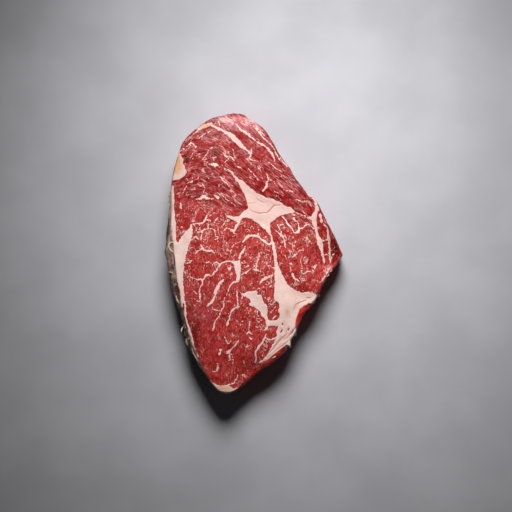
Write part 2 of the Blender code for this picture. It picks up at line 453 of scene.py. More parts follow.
FAT_STROKES = [
    [(-58, 47, 1.2), (-58.4, 40, 3), (-58.2, 28, 3), (-57.5, 18, 3), (-57, 10, 3)],
    [(-51.6, -34, 1.2), (-51.4, -39, 1.1), (-51.7, -44, 0.7)],
    [(-49.8, -34, 1.2), (-49.2, -39, 1.5), (-49.2, -44.5, 1.8), (-47.9, -51, 1.9), (-45.4, -57.5, 1.6),
     (-44.1, -63.5, 1.3), (-42.2, -70, 1.2), (-40.1, -75, 1.1), (-38, -79.2, 0.9)],
    [(-18.5, 58.6, 0.4), (-16, 56.6, 1.3), (-14, 53.8, 1.4), (-12, 51.3, 1.8), (-9.5, 49.5, 2.5)],
    [(-11, 21, 1.6), (-13, 18.5, 1.5), (-14.5, 15.5, 1.2), (-17, 15.5, 0.8)],
    [(12, 12, 1.2), (13.3, 5, 2), (14.3, 0, 2.3), (15, -5, 2), (15.6, -10, 2.6), (16.6, -15, 4.5)],
    [(13, 7.5, 1.2), (10, 5.5, 1.1), (7, 7.5, 1.2), (4, 10, 1.3), (2, 11.5, 1.6), (-3, 12, 1.6),
     (-5, 11, 1.8), (-7, 9, 1.8), (-8.5, 7.5, 1)],
    [(2, 11.5, 1), (2.5, 13.5, 0.7)],
    [(41.8, 39.5, 1.2), (43, 37.3, 1.6), (43.7, 34.3, 1.7), (43.9, 31.4, 1.5), (43.5, 28.4, 2.2),
     (42.4, 25.2, 3.8), (42.6, 21.8, 3.4), (43.2, 18.4, 2.4), (44.2, 14.8, 2), (45, 11.2, 2.4),
     (46.2, 7.7, 4),
     (47.4, 3.6, 2.8), (48.3, 0, 2.2), (49.2, -4.1, 1.9), (50.3, -7.7, 1.2)],
    [(37.6, 24.7, 0.8), (39.5, 24.5, 2), (41.8, 24.4, 3.4)],
    [(44.8, 33.2, 0.5), (45.3, 30.8, 0.9), (45.9, 28.8, 0.6)],
    [(46.5, 27.2, 0.8), (47.1, 25.4, 2.2), (47.2, 24, 0.9), (47.7, 22.5, 1.9), (48.6, 21.3, 0.6)],
    [(49.5, 19.5, 0.7), (51.8, 17.2, 1), (52.1, 13.6, 1.1), (53, 10.1, 1.9), (53.9, 4.8, 2),
     (54.3, -1.2, 2.2),
     (54.8, -5.9, 1.7), (55.7, -8.3, 1)],
    [(46.4, 9, 1.4), (49, 8.2, 1), (51.4, 9, 1.2), (53, 10, 1.6)],
    [(-31.2, 90.8, 1.5), (-26.4, 88.4, 2), (-22.5, 86.6, 1.8), (-19.3, 84.8, 2.5), (-15.2, 81.9, 3.4),
     (-11, 77.6, 3.2), (-7.5, 74.4, 1.9), (-4.5, 71.9, 1.1), (-2.8, 70, 0.9)],
    [(-2, 73.8, 0.8), (-2.3, 71, 1.3), (-2.6, 68.8, 1), (-3.4, 66.4, 0.8), (0.8, 65.3, 0.5),
     (4.3, 64.7, 0.3)],
    [(-30.5, 91.8, 1.5), (-34, 90.4, 2.3), (-37.5, 88.6, 2.2), (-40.5, 86.4, 1.4), (-43.5, 84, 0.7)],
    [(-13.8, 92.3, 0.5), (-12, 90, 1), (-9.3, 87.2, 1.3), (-5.1, 84.3, 1.3), (-1.6, 81.3, 1.2),
     (3.2, 77.7, 1.1),
     (6.7, 76, 1.3), (10.3, 73, 1.2), (12.6, 69.5, 1.3), (14.4, 64.7, 0.6)],
    [(-1, 90.5, 0.4), (2.4, 86, 0.9), (6.2, 81.6, 0.8), (9.5, 78.4, 0.7), (12.4, 75.8, 0.9),
     (14.6, 71.5, 0.8),
     (16.8, 67.1, 0.7), (19.1, 64.7, 0.4)],
    [(1, 90, 0.4), (4, 86.2, 0.7), (8.6, 81.4, 0.6)],
    [(18, 68, 0.4), (21, 63.5, 0.8), (25, 59.5, 0.7), (28, 55, 0.5), (32, 49, 0.5), (36, 43, 0.8),
     (40, 40, 1.2)],
]
print(len(FAT_AREAS), "areas and", len(FAT_STROKES), "strokes of broad fat")

# %% [markdown]
# The areas are fat all through, but two small ends of muscle show inside the lower right fat,
# so they are cut out of it again.

# %% Lean inside the fat
LEAN_AREAS = {
    "upper island": [
        (6.5, -26.5), (10, -25.5), (13.6, -27), (13.5, -31), (12.5, -34), (9.5, -37.5), (7.8, -34),
        (6.4, -30),
    ],
    "middle island": [
        (15, -35.5), (16.8, -38), (16.6, -42), (17, -45.5), (14, -47.6), (10, -47), (9.6, -42),
        (10.5, -38),
        (12.5, -35.5),
    ],
}

# %% [markdown]
# ## Marbling
#
# Thin veins of fat run between the bundles of fibres inside a muscle. The ones that the eye
# picks out are drawn one by one, and the countless smaller flecks are left to the shader.

# %% Veins
VEINS = [
    # the middle of the eye muscle
    [(-10.5, -4, 2), (-10, -1, 1.8), (-8.5, 1.5, 1.8), (-7, 4, 1.4), (-5.5, 4.7, 0.7)],
    [(-14, -7.5, 1.4), (-19, -6, 1.3), (-22, -7, 1.3), (-24.5, -8.5, 1.4), (-26, -12, 1.2),
     (-29, -15, 1.2),
     (-31, -17, 1.2), (-34, -16.5, 1.6), (-37, -19.5, 1.1), (-42, -19, 1), (-46, -17.5, 0.8),
     (-49, -18.5, 0.8)],
    [(-11.5, -20, 2.2), (-14, -22, 1.6), (-17, -24, 1.4), (-18.5, -28, 0.9), (-21.5, -33, 0.8),
     (-22, -38, 1),
     (-23.5, -41, 0.9), (-25, -45.5, 1.2), (-28, -49, 1.1), (-28.5, -53, 1.2), (-30, -55.5, 0.7)],
    [(-22.5, -19.5, 2), (-25, -23, 2.4), (-27.5, -27, 1.8), (-28.5, -31, 1.6), (-30, -35, 1.6),
     (-33, -37.5, 1.2),
     (-34.5, -38.5, 0.8)],
    [(-30, -35, 0.8), (-29.2, -40, 0.8), (-26, -41, 0.6), (-24, -41, 0.6)],
    [(-37, -19.5, 1.3), (-37, -22, 1), (-38.5, -27, 1.2), (-38.5, -33, 1.2), (-39.5, -35, 0.8)],
    [(-12, -27, 0.8), (-12, -33, 1.3), (-12.5, -38, 1.3), (-15, -40, 1.5), (-17, -42, 1.2),
     (-17.8, -46, 1.1),
     (-19, -49, 1.2), (-19.2, -50.5, 2.4)],
    [(-12.5, -38.5, 1), (-10, -38.3, 0.6)],
    [(-24, -41, 0.4), (-20, -42.5, 0.5), (-18, -44, 0.5)],
    [(-37.8, 5.5, 1), (-37, 3, 1.6), (-35, 1.2, 1.4), (-31, 1, 1.5), (-28.5, -0.3, 0.9)],
    [(-37.5, 3.5, 1.2), (-40, 1, 1.3), (-42, -1, 0.9)],
    [(-49, -8.5, 0.6), (-46, -7.5, 1.2), (-44.5, -5.5, 0.8)],
    [(-29.5, -8.2, 0.8), (-27, -7, 1.4), (-24.5, -8, 1.2)],
    [(-34, -6.5, 0.8), (-32, -6.3, 0.9)],
    # the net at its upper left
    [(-46, 18.5, 0.8), (-44, 20, 1), (-40, 20.5, 1.1), (-37.5, 21, 1.4), (-35, 24, 1.6), (-33, 27, 1),
     (-32, 29, 0.6)],
    [(-35, 24, 1.2), (-31, 22.5, 0.8)],
    [(-32, 25.5, 0.6), (-29, 27.5, 0.9), (-26.5, 27, 0.6)],
    [(-39, 20, 1), (-38.5, 16, 1.1), (-37.5, 14, 1.3), (-36, 15.5, 1.2), (-33, 17, 1.3), (-30, 17, 1),
     (-28.5, 15, 1), (-27.5, 12, 0.9), (-25.7, 10.3, 1.3), (-28, 8.5, 0.6)],
    [(-32.8, 17, 1.2), (-32.5, 20, 0.9), (-34.2, 21.5, 0.7)],
    [(-37.5, 14, 1.2), (-38.2, 10, 0.8)],
    [(-38, 9, 0.4), (-40.5, 10.3, 1), (-42.5, 10.8, 1), (-45, 9, 0.6)],
    [(-41, 15.5, 0.8), (-42.5, 19.5, 0.6)],
    [(-25.5, 25, 0.8), (-28, 23, 1.2), (-29, 20, 0.7)],
    [(-38, 10.3, 0.6), (-35.1, 8.9, 0.8), (-33, 9.9, 0.5)],
    [(-20.6, 5.3, 0.5), (-18.8, 3.2, 0.7), (-19.5, 1, 0.5)],
    [(-24, 2.4, 0.5), (-21.5, 1.2, 0.6), (-17.5, 1.8, 0.6), (-13, 0.6, 0.5)],
    [(-1.8, 20.2, 0.5), (-1.4, 16.7, 0.6)],
    [(1.8, 18.8, 0.5), (3.2, 16.7, 0.6), (1.8, 14.5, 0.5)],
    [(-30, 23.8, 0.5), (-27.4, 20.9, 0.5), (-24, 20.5, 0.5)],
    [(-43.5, 15.6, 0.5), (-41.3, 14, 0.6), (-38.2, 14.2, 0.6)],
    [(-10.5, 8, 0.5), (-14, 6.6, 0.6), (-16.2, 3.6, 0.5)],
    [(-19.5, 25, 0.6), (-20.5, 22, 0.8), (-22, 19.5, 1), (-24, 17, 0.8), (-24, 14.5, 0.6)],
    [(-22, 15.5, 0.8), (-20, 17.2, 1), (-18, 16.5, 0.7), (-15, 15.5, 1.4), (-14.5, 12, 0.7),
     (-17, 11, 0.5)],
    # the middle
    [(1, -12, 1.6), (1.6, -8, 1.1), (2.6, -4, 1.2)],
    [(0.8, -3, 0.7), (4.4, -3.6, 0.8)],
    [(-1.5, -11.5, 0.8), (1, -12, 1.2), (5, -13.5, 0.8)],
    [(-9.5, -16, 0.9), (-5, -13, 1.2), (-3, -11, 0.6)],
    [(3.5, -23, 0.5), (5, -20, 1.8), (9, -17.5, 1.6), (13, -16, 0.9)],
    [(8.5, -8.5, 0.5), (12, -10, 1.1), (14.5, -11, 1.2)],
    [(6, 0.5, 0.6), (8, -1.2, 0.6), (10, -2, 0.5)],
    [(11, -38, 0.6), (15, -34.5, 1)],
    [(11, -43.5, 0.6), (15, -38.5, 1.1)],
    [(12.5, -47.5, 0.6), (15.5, -44.5, 1)],
    [(-0.5, -30, 0.6), (3, -25, 0.5), (7, -24.5, 0.8)],
    # the lower part of the eye muscle
    [(-21, -60, 0.9), (-19.5, -62.5, 0.9), (-18.3, -64.3, 1.2), (-16.5, -62, 0.6)],
    [(-10.8, -62, 0.9), (-13.5, -66, 1), (-16, -68.2, 1), (-18.5, -70.8, 2.4), (-20, -71.5, 0.8)],
    [(-18.5, -71, 1.2), (-17.8, -74, 1), (-18.2, -76.5, 0.6)],
    [(-17, -71, 0.8), (-15.6, -74, 0.8), (-15.3, -79, 0.6)],
    [(8.5, -59, 1), (6, -63.5, 1.8), (3, -67.5, 1.8), (0.5, -71, 1.6), (0.8, -74.5, 1), (0.5, -78, 0.8)],
    [(7.5, -60.5, 0.8), (11, -62.3, 1.5), (14, -61.5, 1.4), (17, -59, 0.8)],
    [(-26, -79, 0.9), (-26.2, -82.5, 1.4), (-27.5, -84.8, 1), (-30, -85, 0.6)],
    [(-24, -69.5, 1.8), (-24.4, -72.5, 1.8)],
    [(-3.5, -49.5, 1.2), (-3.5, -54, 0.7), (-4, -57, 0.8)],
    [(-6.2, -58.5, 0.7), (-4, -57, 1.6), (-1.5, -58.3, 0.8)],
    [(-3.6, -60.5, 1.2), (-2.3, -61.5, 1.6)],
    [(-9, -49.5, 1.6), (-8, -49.6, 1)],
    [(0.3, -52, 0.7), (2, -53.5, 1)],
    [(10.2, -50.5, 1.6), (8.8, -54, 1.4), (6, -55.8, 0.7)],
    [(1.8, -41.5, 0.9), (1.6, -45, 0.7)],
    [(-11.7, -87.2, 0.8), (-13.6, -90.5, 1.1), (-15.3, -93, 1.3), (-18.8, -94.5, 1.6), (-23, -94.8, 1.6)],
    [(-36, -69, 0.6), (-37.5, -72.5, 0.5)],
    [(-44.5, -26, 0.7), (-41, -29, 0.8)],
    [(-42.5, -32.5, 0.7), (-40, -34.5, 0.6)],
    # the pointed corner and its frayed edge
    [(53.6, 0.6, 0.6), (56.5, 1.6, 0.8), (58.9, 3.5, 0.4)],
    [(54.8, -4.1, 0.6), (57, -2.4, 0.8), (58.9, -1.1, 0.4)],
    [(52, -10.6, 0.7), (53.4, -12, 1.3), (54.4, -12.4, 0.8)],
    [(50.8, -12.8, 0.8), (52, -14.4, 1.2), (51.4, -16, 0.8)],
    [(49, -15.6, 0.7), (50.2, -17.2, 1.3), (49.4, -18.6, 1)],
    [(47.4, -18.4, 0.8), (48.6, -20, 1.3), (47.4, -22, 0.9)],
    [(46, -22.8, 0.6), (46.8, -24.6, 0.9)],
    [(37.2, 41.6, 0.8), (40, 39.8, 1.6), (43, 37.6, 1.6), (45, 34.6, 1)],
    [(46.4, 32.6, 0.9), (47.8, 30, 1.1)],
    [(49.8, 26, 0.8), (51.4, 22.4, 1)],
    # the cap muscle
    [(-53.5, 71.5, 1), (-51.5, 73, 0.8), (-47, 76, 0.9), (-44.5, 78, 1), (-42.6, 76.8, 1),
     (-41.3, 75, 0.8)],
    [(-44.5, 77.5, 0.6), (-47.5, 72, 0.6), (-51, 73.2, 0.6)],
    [(-41.5, 75, 0.7), (-43.5, 70.5, 0.6), (-45.5, 66.5, 0.5)],
    [(-29.5, 87.5, 0.8), (-34, 85, 1), (-37.5, 82.5, 0.8), (-41, 81, 0.8)],
    [(-36.5, 83, 0.7), (-37.5, 79, 0.5)],
    [(-25, 90.5, 1), (-26, 95, 0.8)],
    [(-37, 65.5, 0.6), (-34, 70, 0.9), (-31, 73.5, 0.9), (-28.5, 74.5, 1), (-25, 72.5, 0.6)],
    [(-36, 66.5, 0.8), (-35.5, 61, 0.5)],
    [(-22.5, 71.5, 0.6), (-20, 68.5, 1.4), (-17, 67.8, 1.5), (-13.5, 65, 0.5)],
    [(-20, 68, 1), (-19, 66, 0.9), (-21, 64.5, 0.6)],
    [(-34.7, 64.6, 0.8), (-32, 63.2, 1.3), (-29.3, 62.8, 1.8), (-27.6, 61.6, 2.6), (-26, 61, 1),
     (-23, 60.6, 0.6),
     (-20.5, 59.8, 0.8), (-18.5, 58.6, 0.7)],
    [(-12.5, 61.5, 0.6), (-10.5, 60.5, 1.4), (-9.5, 60, 0.6)],
    [(-24, 54, 0.8), (-21.8, 51.3, 1.2), (-19, 48, 0.8)],
    [(-49, 52.5, 0.6), (-46.5, 50.5, 0.9), (-43.8, 50.5, 1.1), (-43.6, 54, 0.6)],
    [(-47, 49.5, 0.5), (-49, 45, 0.9), (-51.5, 41, 0.6)],
    [(-41.5, 37.3, 0.8), (-38.5, 38, 1.6), (-36, 39.4, 2), (-33, 38.4, 1.5), (-29, 38, 0.7)],
    [(-37, 48.5, 0.8), (-35.8, 45.5, 1.1), (-36.5, 42, 0.8), (-37.5, 39, 0.8)],
    [(-28, 40.5, 1.6), (-26, 38.5, 1.8)],
    [(-22.5, 39.5, 0.8), (-19, 37, 0.9), (-14, 33.5, 0.7)],
    [(-25, 48.5, 0.9), (-25, 46.5, 0.9)],
    [(-52.5, 35, 1.2), (-52.3, 32, 2)],
    [(-52, 18, 1.4), (-51.5, 17, 0.8)],
    # the band outside the star
    [(9, 64.5, 0.4), (12, 62.5, 0.8), (15, 60.5, 0.7), (20, 57, 0.5)],
    [(8, 55.5, 0.7), (9.8, 52.5, 1), (9, 49.5, 1.2), (8, 46, 1.4), (6.5, 43.5, 1.4)],
    [(9.8, 52.5, 0.7), (14, 50.3, 0.5)],
    [(2, 61, 0.9), (5, 57, 0.5)],
    [(-4, 59.5, 0.5), (1, 54, 0.9), (4, 50, 0.5)],
    [(20, 44.5, 0.5), (24, 43.8, 0.8), (27, 42.5, 0.5)],
    [(28, 37.2, 0.5), (32, 36.8, 0.8), (35, 35.3, 0.6)],
    [(29.5, 28.2, 0.4), (31.8, 27, 0.7), (34.2, 26.3, 0.7), (36.8, 24.9, 0.5)],
    # the inner muscle
    [(20.5, 25.5, 0.8), (22.5, 23.5, 1.2), (24, 20, 1.6), (25.5, 17.5, 0.9), (28, 14.5, 1),
     (30.3, 14.3, 1.4),
     (31.4, 17, 1.3), (31.2, 20, 1.2), (29.5, 22.8, 0.9), (27, 24.6, 1.2)],
    [(31, 17.8, 1), (34, 17.6, 1.1), (36.5, 19.6, 1), (39, 19.4, 0.8), (42, 16.8, 1.2)],
    [(14.5, 17.2, 0.8), (16.5, 14.5, 1), (19.3, 12.8, 2), (20.2, 10, 1.1), (21.3, 6, 1.4),
     (22.2, 3.5, 0.6)],
    [(16, 21, 0.7), (18, 17.8, 1), (19.5, 14.5, 0.9)],
    [(19, 12.5, 0.8), (16.3, 9.7, 0.6)],
    [(18.8, 19.8, 1.2), (20.6, 20, 0.8)],
    [(28, -2.2, 2), (29.8, -0.8, 0.9), (32, 1.5, 1.2), (35, 2.4, 0.8)],
    [(27, -15.5, 1.4), (28.3, -18.7, 1.5), (31.5, -20.7, 1)],
    [(31, -19.3, 0.6), (34, -15.5, 0.8), (37, -13.3, 0.9), (40, -13.4, 0.8), (44, -15.6, 0.7)],
    [(20.3, -12.5, 0.5), (23.3, -16.8, 0.7)],
    [(24.5, 7, 0.6), (27.2, 5, 0.9), (27, 1.5, 0.6)],
    [(16.5, 3.3, 0.6), (19, 4.8, 0.7)],
    [(25.5, -8, 1.3), (26.5, -8.5, 0.8)],
    [(49.8, -1.4, 0.7), (54.5, -1.6, 0.8)],
    [(54.5, 1, 0.7), (58.3, 3.4, 0.6)],
    [(55, -4.6, 0.7), (59, -1.8, 0.6)],
]
print(len(VEINS), "veins with", sum(map(len, VEINS)), "points")

# %% [markdown]
# Where two muscles have come apart the membrane between them opens, and where the fat has dried it cracks.
# A crack is a thin orange-brown line. A gap is a thin dark line, a painted shadow in the opening. The
# creases in the fat are painted darker, a painted shade in the folds. They are drawn as strokes too.

# %% Cracks and gaps
CRACKS = [
    [(-4, 30.5, 0.2), (-1, 29, 0.5), (3, 28, 0.6), (8, 28.2, 0.6), (11, 30.2, 0.6), (14, 33.3, 0.6),
     (18, 33.2, 0.3)],
]
CREASES = [
    [(36.5, -34, 0.4), (32.5, -35.6, 0.9), (29, -37.8, 0.9), (27.6, -41, 0.4)],
    [(29, -52.9, 0.3), (26.3, -56.5, 0.9), (23.6, -60, 0.8), (20.5, -62.4, 0.4)],
    [(24.2, -56.5, 0.4), (21, -60, 0.9), (17.4, -63.6, 1), (13, -69, 0.5)],
    [(20.8, -58.8, 0.3), (18.3, -61.8, 0.7), (14.3, -66.7, 0.8), (10.5, -71.8, 0.4)],
    [(26, -60, 0.3), (22.8, -64, 0.7), (18, -67.6, 0.7), (14.6, -70.4, 0.3)],
    [(24.6, -52.3, 0.3), (22.8, -55.6, 0.6), (21.4, -58.6, 0.3)],
    [(37, -32.3, 0.3), (38.7, -32.6, 0.8), (40.2, -32, 0.3)],
    [(-7, 36, 0.2), (-3, 34.5, 0.4), (1, 35.5, 0.2)],
    [(1, 38.5, 0.2), (5, 36, 0.4), (9, 35.5, 0.2)],
    [(-50.5, -37, 0.3), (-50.3, -41, 1.0), (-50.6, -45, 0.7)],
    [(36.5, 38.5, 0.3), (31.5, 45, 0.8), (26, 52.5, 0.9), (21.5, 59, 0.8), (18, 64, 0.4)],
    [(37.4, 36.4, 0.3), (33, 41.6, 0.8), (28, 47.8, 0.9), (23, 54.5, 0.7), (19.5, 59.6, 0.3)],
    [(34.8, 37, 0.3), (31, 41.3, 0.6), (27.5, 45.6, 0.3)],
]
GAPS = [
    [(3.5, 42, 0.2), (6, 40.6, 0.45), (9.5, 38.7, 0.3)],
    [(12, 39.3, 0.2), (15, 37.6, 0.3), (19.5, 35, 0.2)],
    [(26.2, 31.8, 0.2), (28, 30.6, 0.6), (30.5, 28.6, 0.5), (33.5, 27.5, 0.5), (37.3, 25.8, 0.2)],
    [(44.3, 6.2, 0.3), (43.2, 5.4, 0.8), (42.3, 4.6, 0.3)],
    [(-50.2, 68.5, 0.5), (-49.4, 66.5, 1.1), (-48.8, 63, 0.6)],
    [(28.2, -54.8, 0.2), (27.2, -56.3, 0.5), (26, -58, 0.2)],
    [(-26, -40.5, 0.2), (-27, -38, 0.3)],
]
SPOTS = [
    [(25, -44.6, 0.6), (25, -46.2, 0.7)], [(20, -50.4, 0.9), (20.2, -51.2, 0.9)],
    [(19.4, -54.6, 1), (18.6, -56.4, 1)], [(25, -53.9, 0.7), (23.9, -55, 0.7)],
]
print(len(CRACKS) + len(CREASES) + len(GAPS), "thin lines and", len(SPOTS), "spots of lean")


# %% [markdown]
# ## From drawings to depths
#
# A stroke's depth at a place is half its width less the distance to its route. An area's depth
# is the distance to its nearest side, negative outside. The drawing is for the top. Down
# through the meat a seam wanders, so the drawing is read at a place that drifts sideways with
# depth, and the side reads it at the rim above it, which carries each seam down the side.

# %% Depth tools
REACH = 4.0                # depths further out than this don't matter


def within_reach(places, line):
    low, high = line[:, :2].min(axis=0) - REACH, line[:, :2].max(axis=0) + REACH
    return np.flatnonzero(np.all((places > low) & (places < high), axis=1))


def stroke_depth(places, strokes, per_span=5):
    """The greatest depth in any of the strokes: half the width where the route is nearest, less
    the distance to it."""
    depth = np.full(len(places), -REACH)
    for stroke in strokes:
        route = smooth_curve(stroke, closed=False, per_span=per_span)
        near = within_reach(places, route)
        away, share = along_runs(places[near], route)
        width = route[:-1, 2] + share * np.diff(route[:, 2])
        depth[near] = np.maximum(depth[near], (width / 2 - away).max(axis=1))
    return depth


def area_depth(places, areas):
    """The greatest depth in any of the areas: the distance to the nearest side, and negative
    where a line drawn towards +X crosses the outline an even number of times."""
    depth = np.full(len(places), -REACH)
    for area in areas:
        line = smooth_curve(area, closed=True, per_span=4)
        line = np.vstack([line, line[0]])
        near = within_reach(places, line)
        x, y = places[near, :1], places[near, 1:]
        (x0, y0), (x1, y1) = line[:-1].T, line[1:].T
        climb = np.where(y1 == y0, 1, y1 - y0)
        crossed = ((y0 > y) != (y1 > y)) & (x < x0 + (y - y0) / climb * (x1 - x0))
        inside = crossed.sum(axis=1) % 2 == 1
        away = along_runs(places[near], line)[0].min(axis=1)
        depth[near] = np.maximum(depth[near], np.where(inside, away, -away))
    return depth


DRIFT = np.array([0.10, 0.05])    # sideways drift for each millimetre down
WANDER = 6.0                      # the further wander of the seams at the foot
rim_reach = edge(point_angle) - EDGE_INSET
reach = np.hypot(*(points[:, :2] - HUB).T)
face_reach = edge(point_angle) - 0.3
pulled_in = np.minimum(1, face_reach / np.maximum(reach, 1e-6))[:, None]
drawing = HUB + (points[:, :2] - HUB) * pulled_in
down = np.clip((THICKNESS - 3 - points[:, 2]) / (THICKNESS - 3), 0, 1)[:, None]
sway = np.column_stack([
    cloud(points, 18, 1) + 0.4 * cloud(points, 6, 7),
    cloud(points, 18, 2) + 0.4 * cloud(points, 6, 8),
])
drawing += down * (DRIFT * THICKNESS + WANDER * sway)
ragged = np.column_stack([cloud(points, 1.9, 3), cloud(points, 1.9, 4)])
rough = np.column_stack([cloud(points, 4.5, 5), cloud(points, 4.5, 6)])
drawing += 0.25 * ragged + 0.3 * rough
kinked = drawing + 0.45 * ragged + 0.2 * rough      # thin veins zigzag more than broad fat
print("the drawing drifts by up to", round(float(np.abs(down * WANDER * sway).max()), 1), "mm")

# %% Depths of fat, veins and thin lines
VEIN_THINNING = 0.14       # taken off each side of a vein
fat = np.maximum(area_depth(drawing, FAT_AREAS.values()), stroke_depth(drawing, FAT_STROKES))
lean_inside = np.maximum(area_depth(drawing, LEAN_AREAS.values()), stroke_depth(drawing, SPOTS))
fat = np.minimum(fat, -lean_inside) - down[:, 0] * np.maximum(0, 2.5 + 6 * cloud(points, 9, 33))
vein = stroke_depth(kinked, VEINS) - VEIN_THINNING
crack = stroke_depth(drawing, CRACKS)
crease = stroke_depth(drawing, CREASES)
gap = stroke_depth(drawing, GAPS)
print("broad fat covers", round(100 * np.mean(fat[: len(top_x)] > 0)), "% of the top")

# %% [markdown]
# ## Tone
#
# Meat isn't one red. Fresh muscle is vivid, a film of fat smeared over it gives it a purplish bloom, and it
# browns where it has dried. Some purplish patches are also a painted sheen, where the wet top catches the
# light. The dark patches are partly darker meat and partly painted shade where the top slopes away: near
# the rim, at the pointed corner and at the tip. Some tan on the fat, at the tip and over the star, is
# painted shade too. Each tone is a few soft patches with an amount. The same goes for how richly a muscle
# is flecked with fat.


# %% Soft patches
def patches(places, spots):
    """The sum of bell-shaped spots, each given as X, Y, reach in X, reach in Y and amount."""
    total = np.zeros(len(places))
    for centre_x, centre_y, reach_x, reach_y, amount in spots:
        away = ((places[:, 0] - centre_x) / reach_x) ** 2 + ((places[:, 1] - centre_y) / reach_y) ** 2
        total += amount * np.exp(-away)
    return total


# Positive amounts turn the red purplish. This is a bloom, and at the top edge, in the cap and at the lower
# left of the eye muscle it is also a painted sheen.
BLOOM_AND_SHEEN = [                  # negative where the red is vivid
    (-5, -18, 10, 10, 0.35), (-28, 55, 10, 7, 0.8), (-30, 74, 9, 5, 0.25), (-36, -42, 8, 10, 1.0),
    (-47, -27, 4, 7, 0.7), (-3, 92, 14, 7, 1.5), (10, 80, 6, 7, 0.7), (8, -9, 6, 5, 0.55),
    (-45, 6, 4, 5, 0.5), (33, -20, 9, 5, 0.6), (22, 47, 9, 8, 1.0), (30, 45, 5, 8, 0.5),
    (-49, 34, 5, 6, 0.5), (-15, 46, 6, 6, 0.5), (-48, 62, 3, 7, 0.5), (-20, 30.5, 9, 2, 0.7),
    (38, -8, 6, 6, 0.5), (-13, -46, 6, 7, 0.45), (8, 62, 9, 4, 0.6), (-38, 80, 7, 4, 0.5),
    (-9, -1, 6, 5, 0.2), (-28, -8, 10, 8, 0.15), (-10, 81, 8, 3.5, -1.5), (6, 71, 8, 5, -2.0),
    (-20, 76, 7, 3, -0.8), (-3, 55, 6, 5, -1.0), (-16, 61, 7, 2.5, -0.8), (-22, -4, 9, 4, -0.4),
    (12, 44, 8, 3, -0.9), (35, 33, 5, 4, -0.6), (47, 15, 2, 7, -0.9), (51, 1, 2, 7, -1.0),
    (-22, -62, 14, 12, 0.2), (30, 5, 12, 12, 0.2), (-8, 30, 6, 3, -0.5), (12, -42, 6, 9, -0.5),
    (-40, -6, 6, 8, -0.3), (-40, 34, 12, 6, 0.3),
]
# Darker patches. In places this is darker meat. It is painted shade where the top slopes away: at the
# pointed corner, at the lower left rim, at the tip and along the lower edge on the right.
DARK_AND_SHADE = [
    (34, 8, 11, 14, 0.18), (-44, -62, 6, 17, 0.9), (-40, -50, 7, 10, 0.3), (59, 0, 4.5, 9, 0.85),
    (60, -5, 4, 5, 0.6), (57, 14, 3, 12, 0.4), (-18, -90, 14, 5, 0.5), (-26, 70, 5, 3, 0.4),
    (-15, 68, 6, 3, 0.4), (-25, 44, 6, 3, 0.35), (-13, 35, 4, 5, 0.45), (-36, 73, 4, 3, 0.35),
    (5, 72, 7, 5, 0.35), (-30, 69, 6, 4, 0.35), (-47, 68, 3, 5, 0.8), (46, 22, 2, 6, 0.3),
    (-22, 34, 10, 2, 0.3), (5, -82, 12, 7, 0.8), (-35, 64, 5, 2, 0.35), (-46, 20, 4, 6, 0.2),
    (12, 60, 4, 2, 0.3), (-50, 25, 3, 12, 0.25),
]
BROWN = [
    (-46.5, -37, 2.4, 5, 1.1), (-49, -18, 1.6, 8, 0.6), (-30, -49, 3, 2, 0.5), (35, 9, 6, 3.5, 0.95),
    (40, 13, 4, 4, 0.6), (22, 27, 3, 2, 0.4), (-30, -83, 7, 4, 0.5), (-31, 33, 7, 1.5, 0.8),
    (-18, 32.5, 5, 1.4, 0.4), (30, 24, 6, 3, 0.5), (-38, 59, 5, 2, 0.3), (-55, 46, 2.5, 3, 0.6),
    (-10, 84, 4, 2, 0.4), (-20, -48, 5, 3, 0.25),
]
# Tan stains on the fat. At the tip and over the star the tan is partly a painted shade.
TAN_AND_SHADE = [                    # negative where the fat is paler than elsewhere
    (-56, 63, 4.6, 8, 1.3), (-50.6, -41, 1.2, 5, 0.8), (-58.8, -2, 1.3, 14, 0.8),
    (-55, -28, 1.2, 9, 0.8), (-24, -97, 14, 4, 0.65), (23.5, -42, 2.5, 3.5, 0.6),
    (21.5, -50, 3, 6, 0.35), (37, -32.5, 4, 1.8, 0.35), (18, -64, 7, 5, 0.22), (-36, 90, 6, 3, 0.75),
    (14, -74, 8, 2, 0.6), (26, -66, 4, 3, 0.35), (-47, -55, 3, 8, 0.25), (-2, 34, 12, 9, 0.2),
    (-53, 0, 3.5, 16, -0.7), (-50, -50, 4, 14, -0.4), (-58, 26, 3, 12, -0.3),
]
VEIL = [
    (1, -80, 4, 2, 0.5), (7, -76.8, 4, 1.8, 0.5), (-12, -92.5, 3, 2.5, 0.4), (-21, 94.5, 7, 3, 1.1),
    (-3, 93.5, 8, 4, 0.8), (3, 87, 5, 4, 0.45), (44, 34, 2, 4, 0.5), (51, 24, 2.5, 5, 0.5),
    (53, -13, 3, 4, 1), (49.5, -19, 2.5, 3, 0.9), (43, -27, 3, 3, 0.5), (-20, 31.5, 8, 1.5, 0.3),
    (-2, 64, 3, 2, 0.3), (26, 60, 3, 5, 0.3), (13, 77, 3, 4, 0.3), (23, 51, 6, 6, 0.4),
    (30, 46, 4, 6, 0.35), (12, -40, 4, 7, 0.3), (-49, 34, 5, 6, 0.25),
]
MARBLED = [                # the share of flecks and fine veins, over a common 0.55
    (-22, 2, 22, 18, 0.3), (-8, -18, 16, 14, 0.3), (30, 4, 18, 24, 0.45), (-30, 60, 24, 22, 0.3),
    (6, -12, 10, 14, 0.3), (6, 71, 9, 6, -0.5), (50, 4, 3, 8, -0.4), (14, 42, 5, 8, 0.2),
    (12, -40, 4, 8, 0.5), (-34, -62, 16, 26, -0.35), (-14, -84, 16, 12, -0.15), (-2, -58, 12, 12, 0.25),
    (8, 72, 8, 5, -0.3), (-8, 82, 10, 4, -0.3), (-4, -2, 5, 6, -0.3), (-30, -24, 5, 5, -0.2),
    (58, 0, 6, 14, -0.4), (-15, -66, 7, 4, -0.25),
]
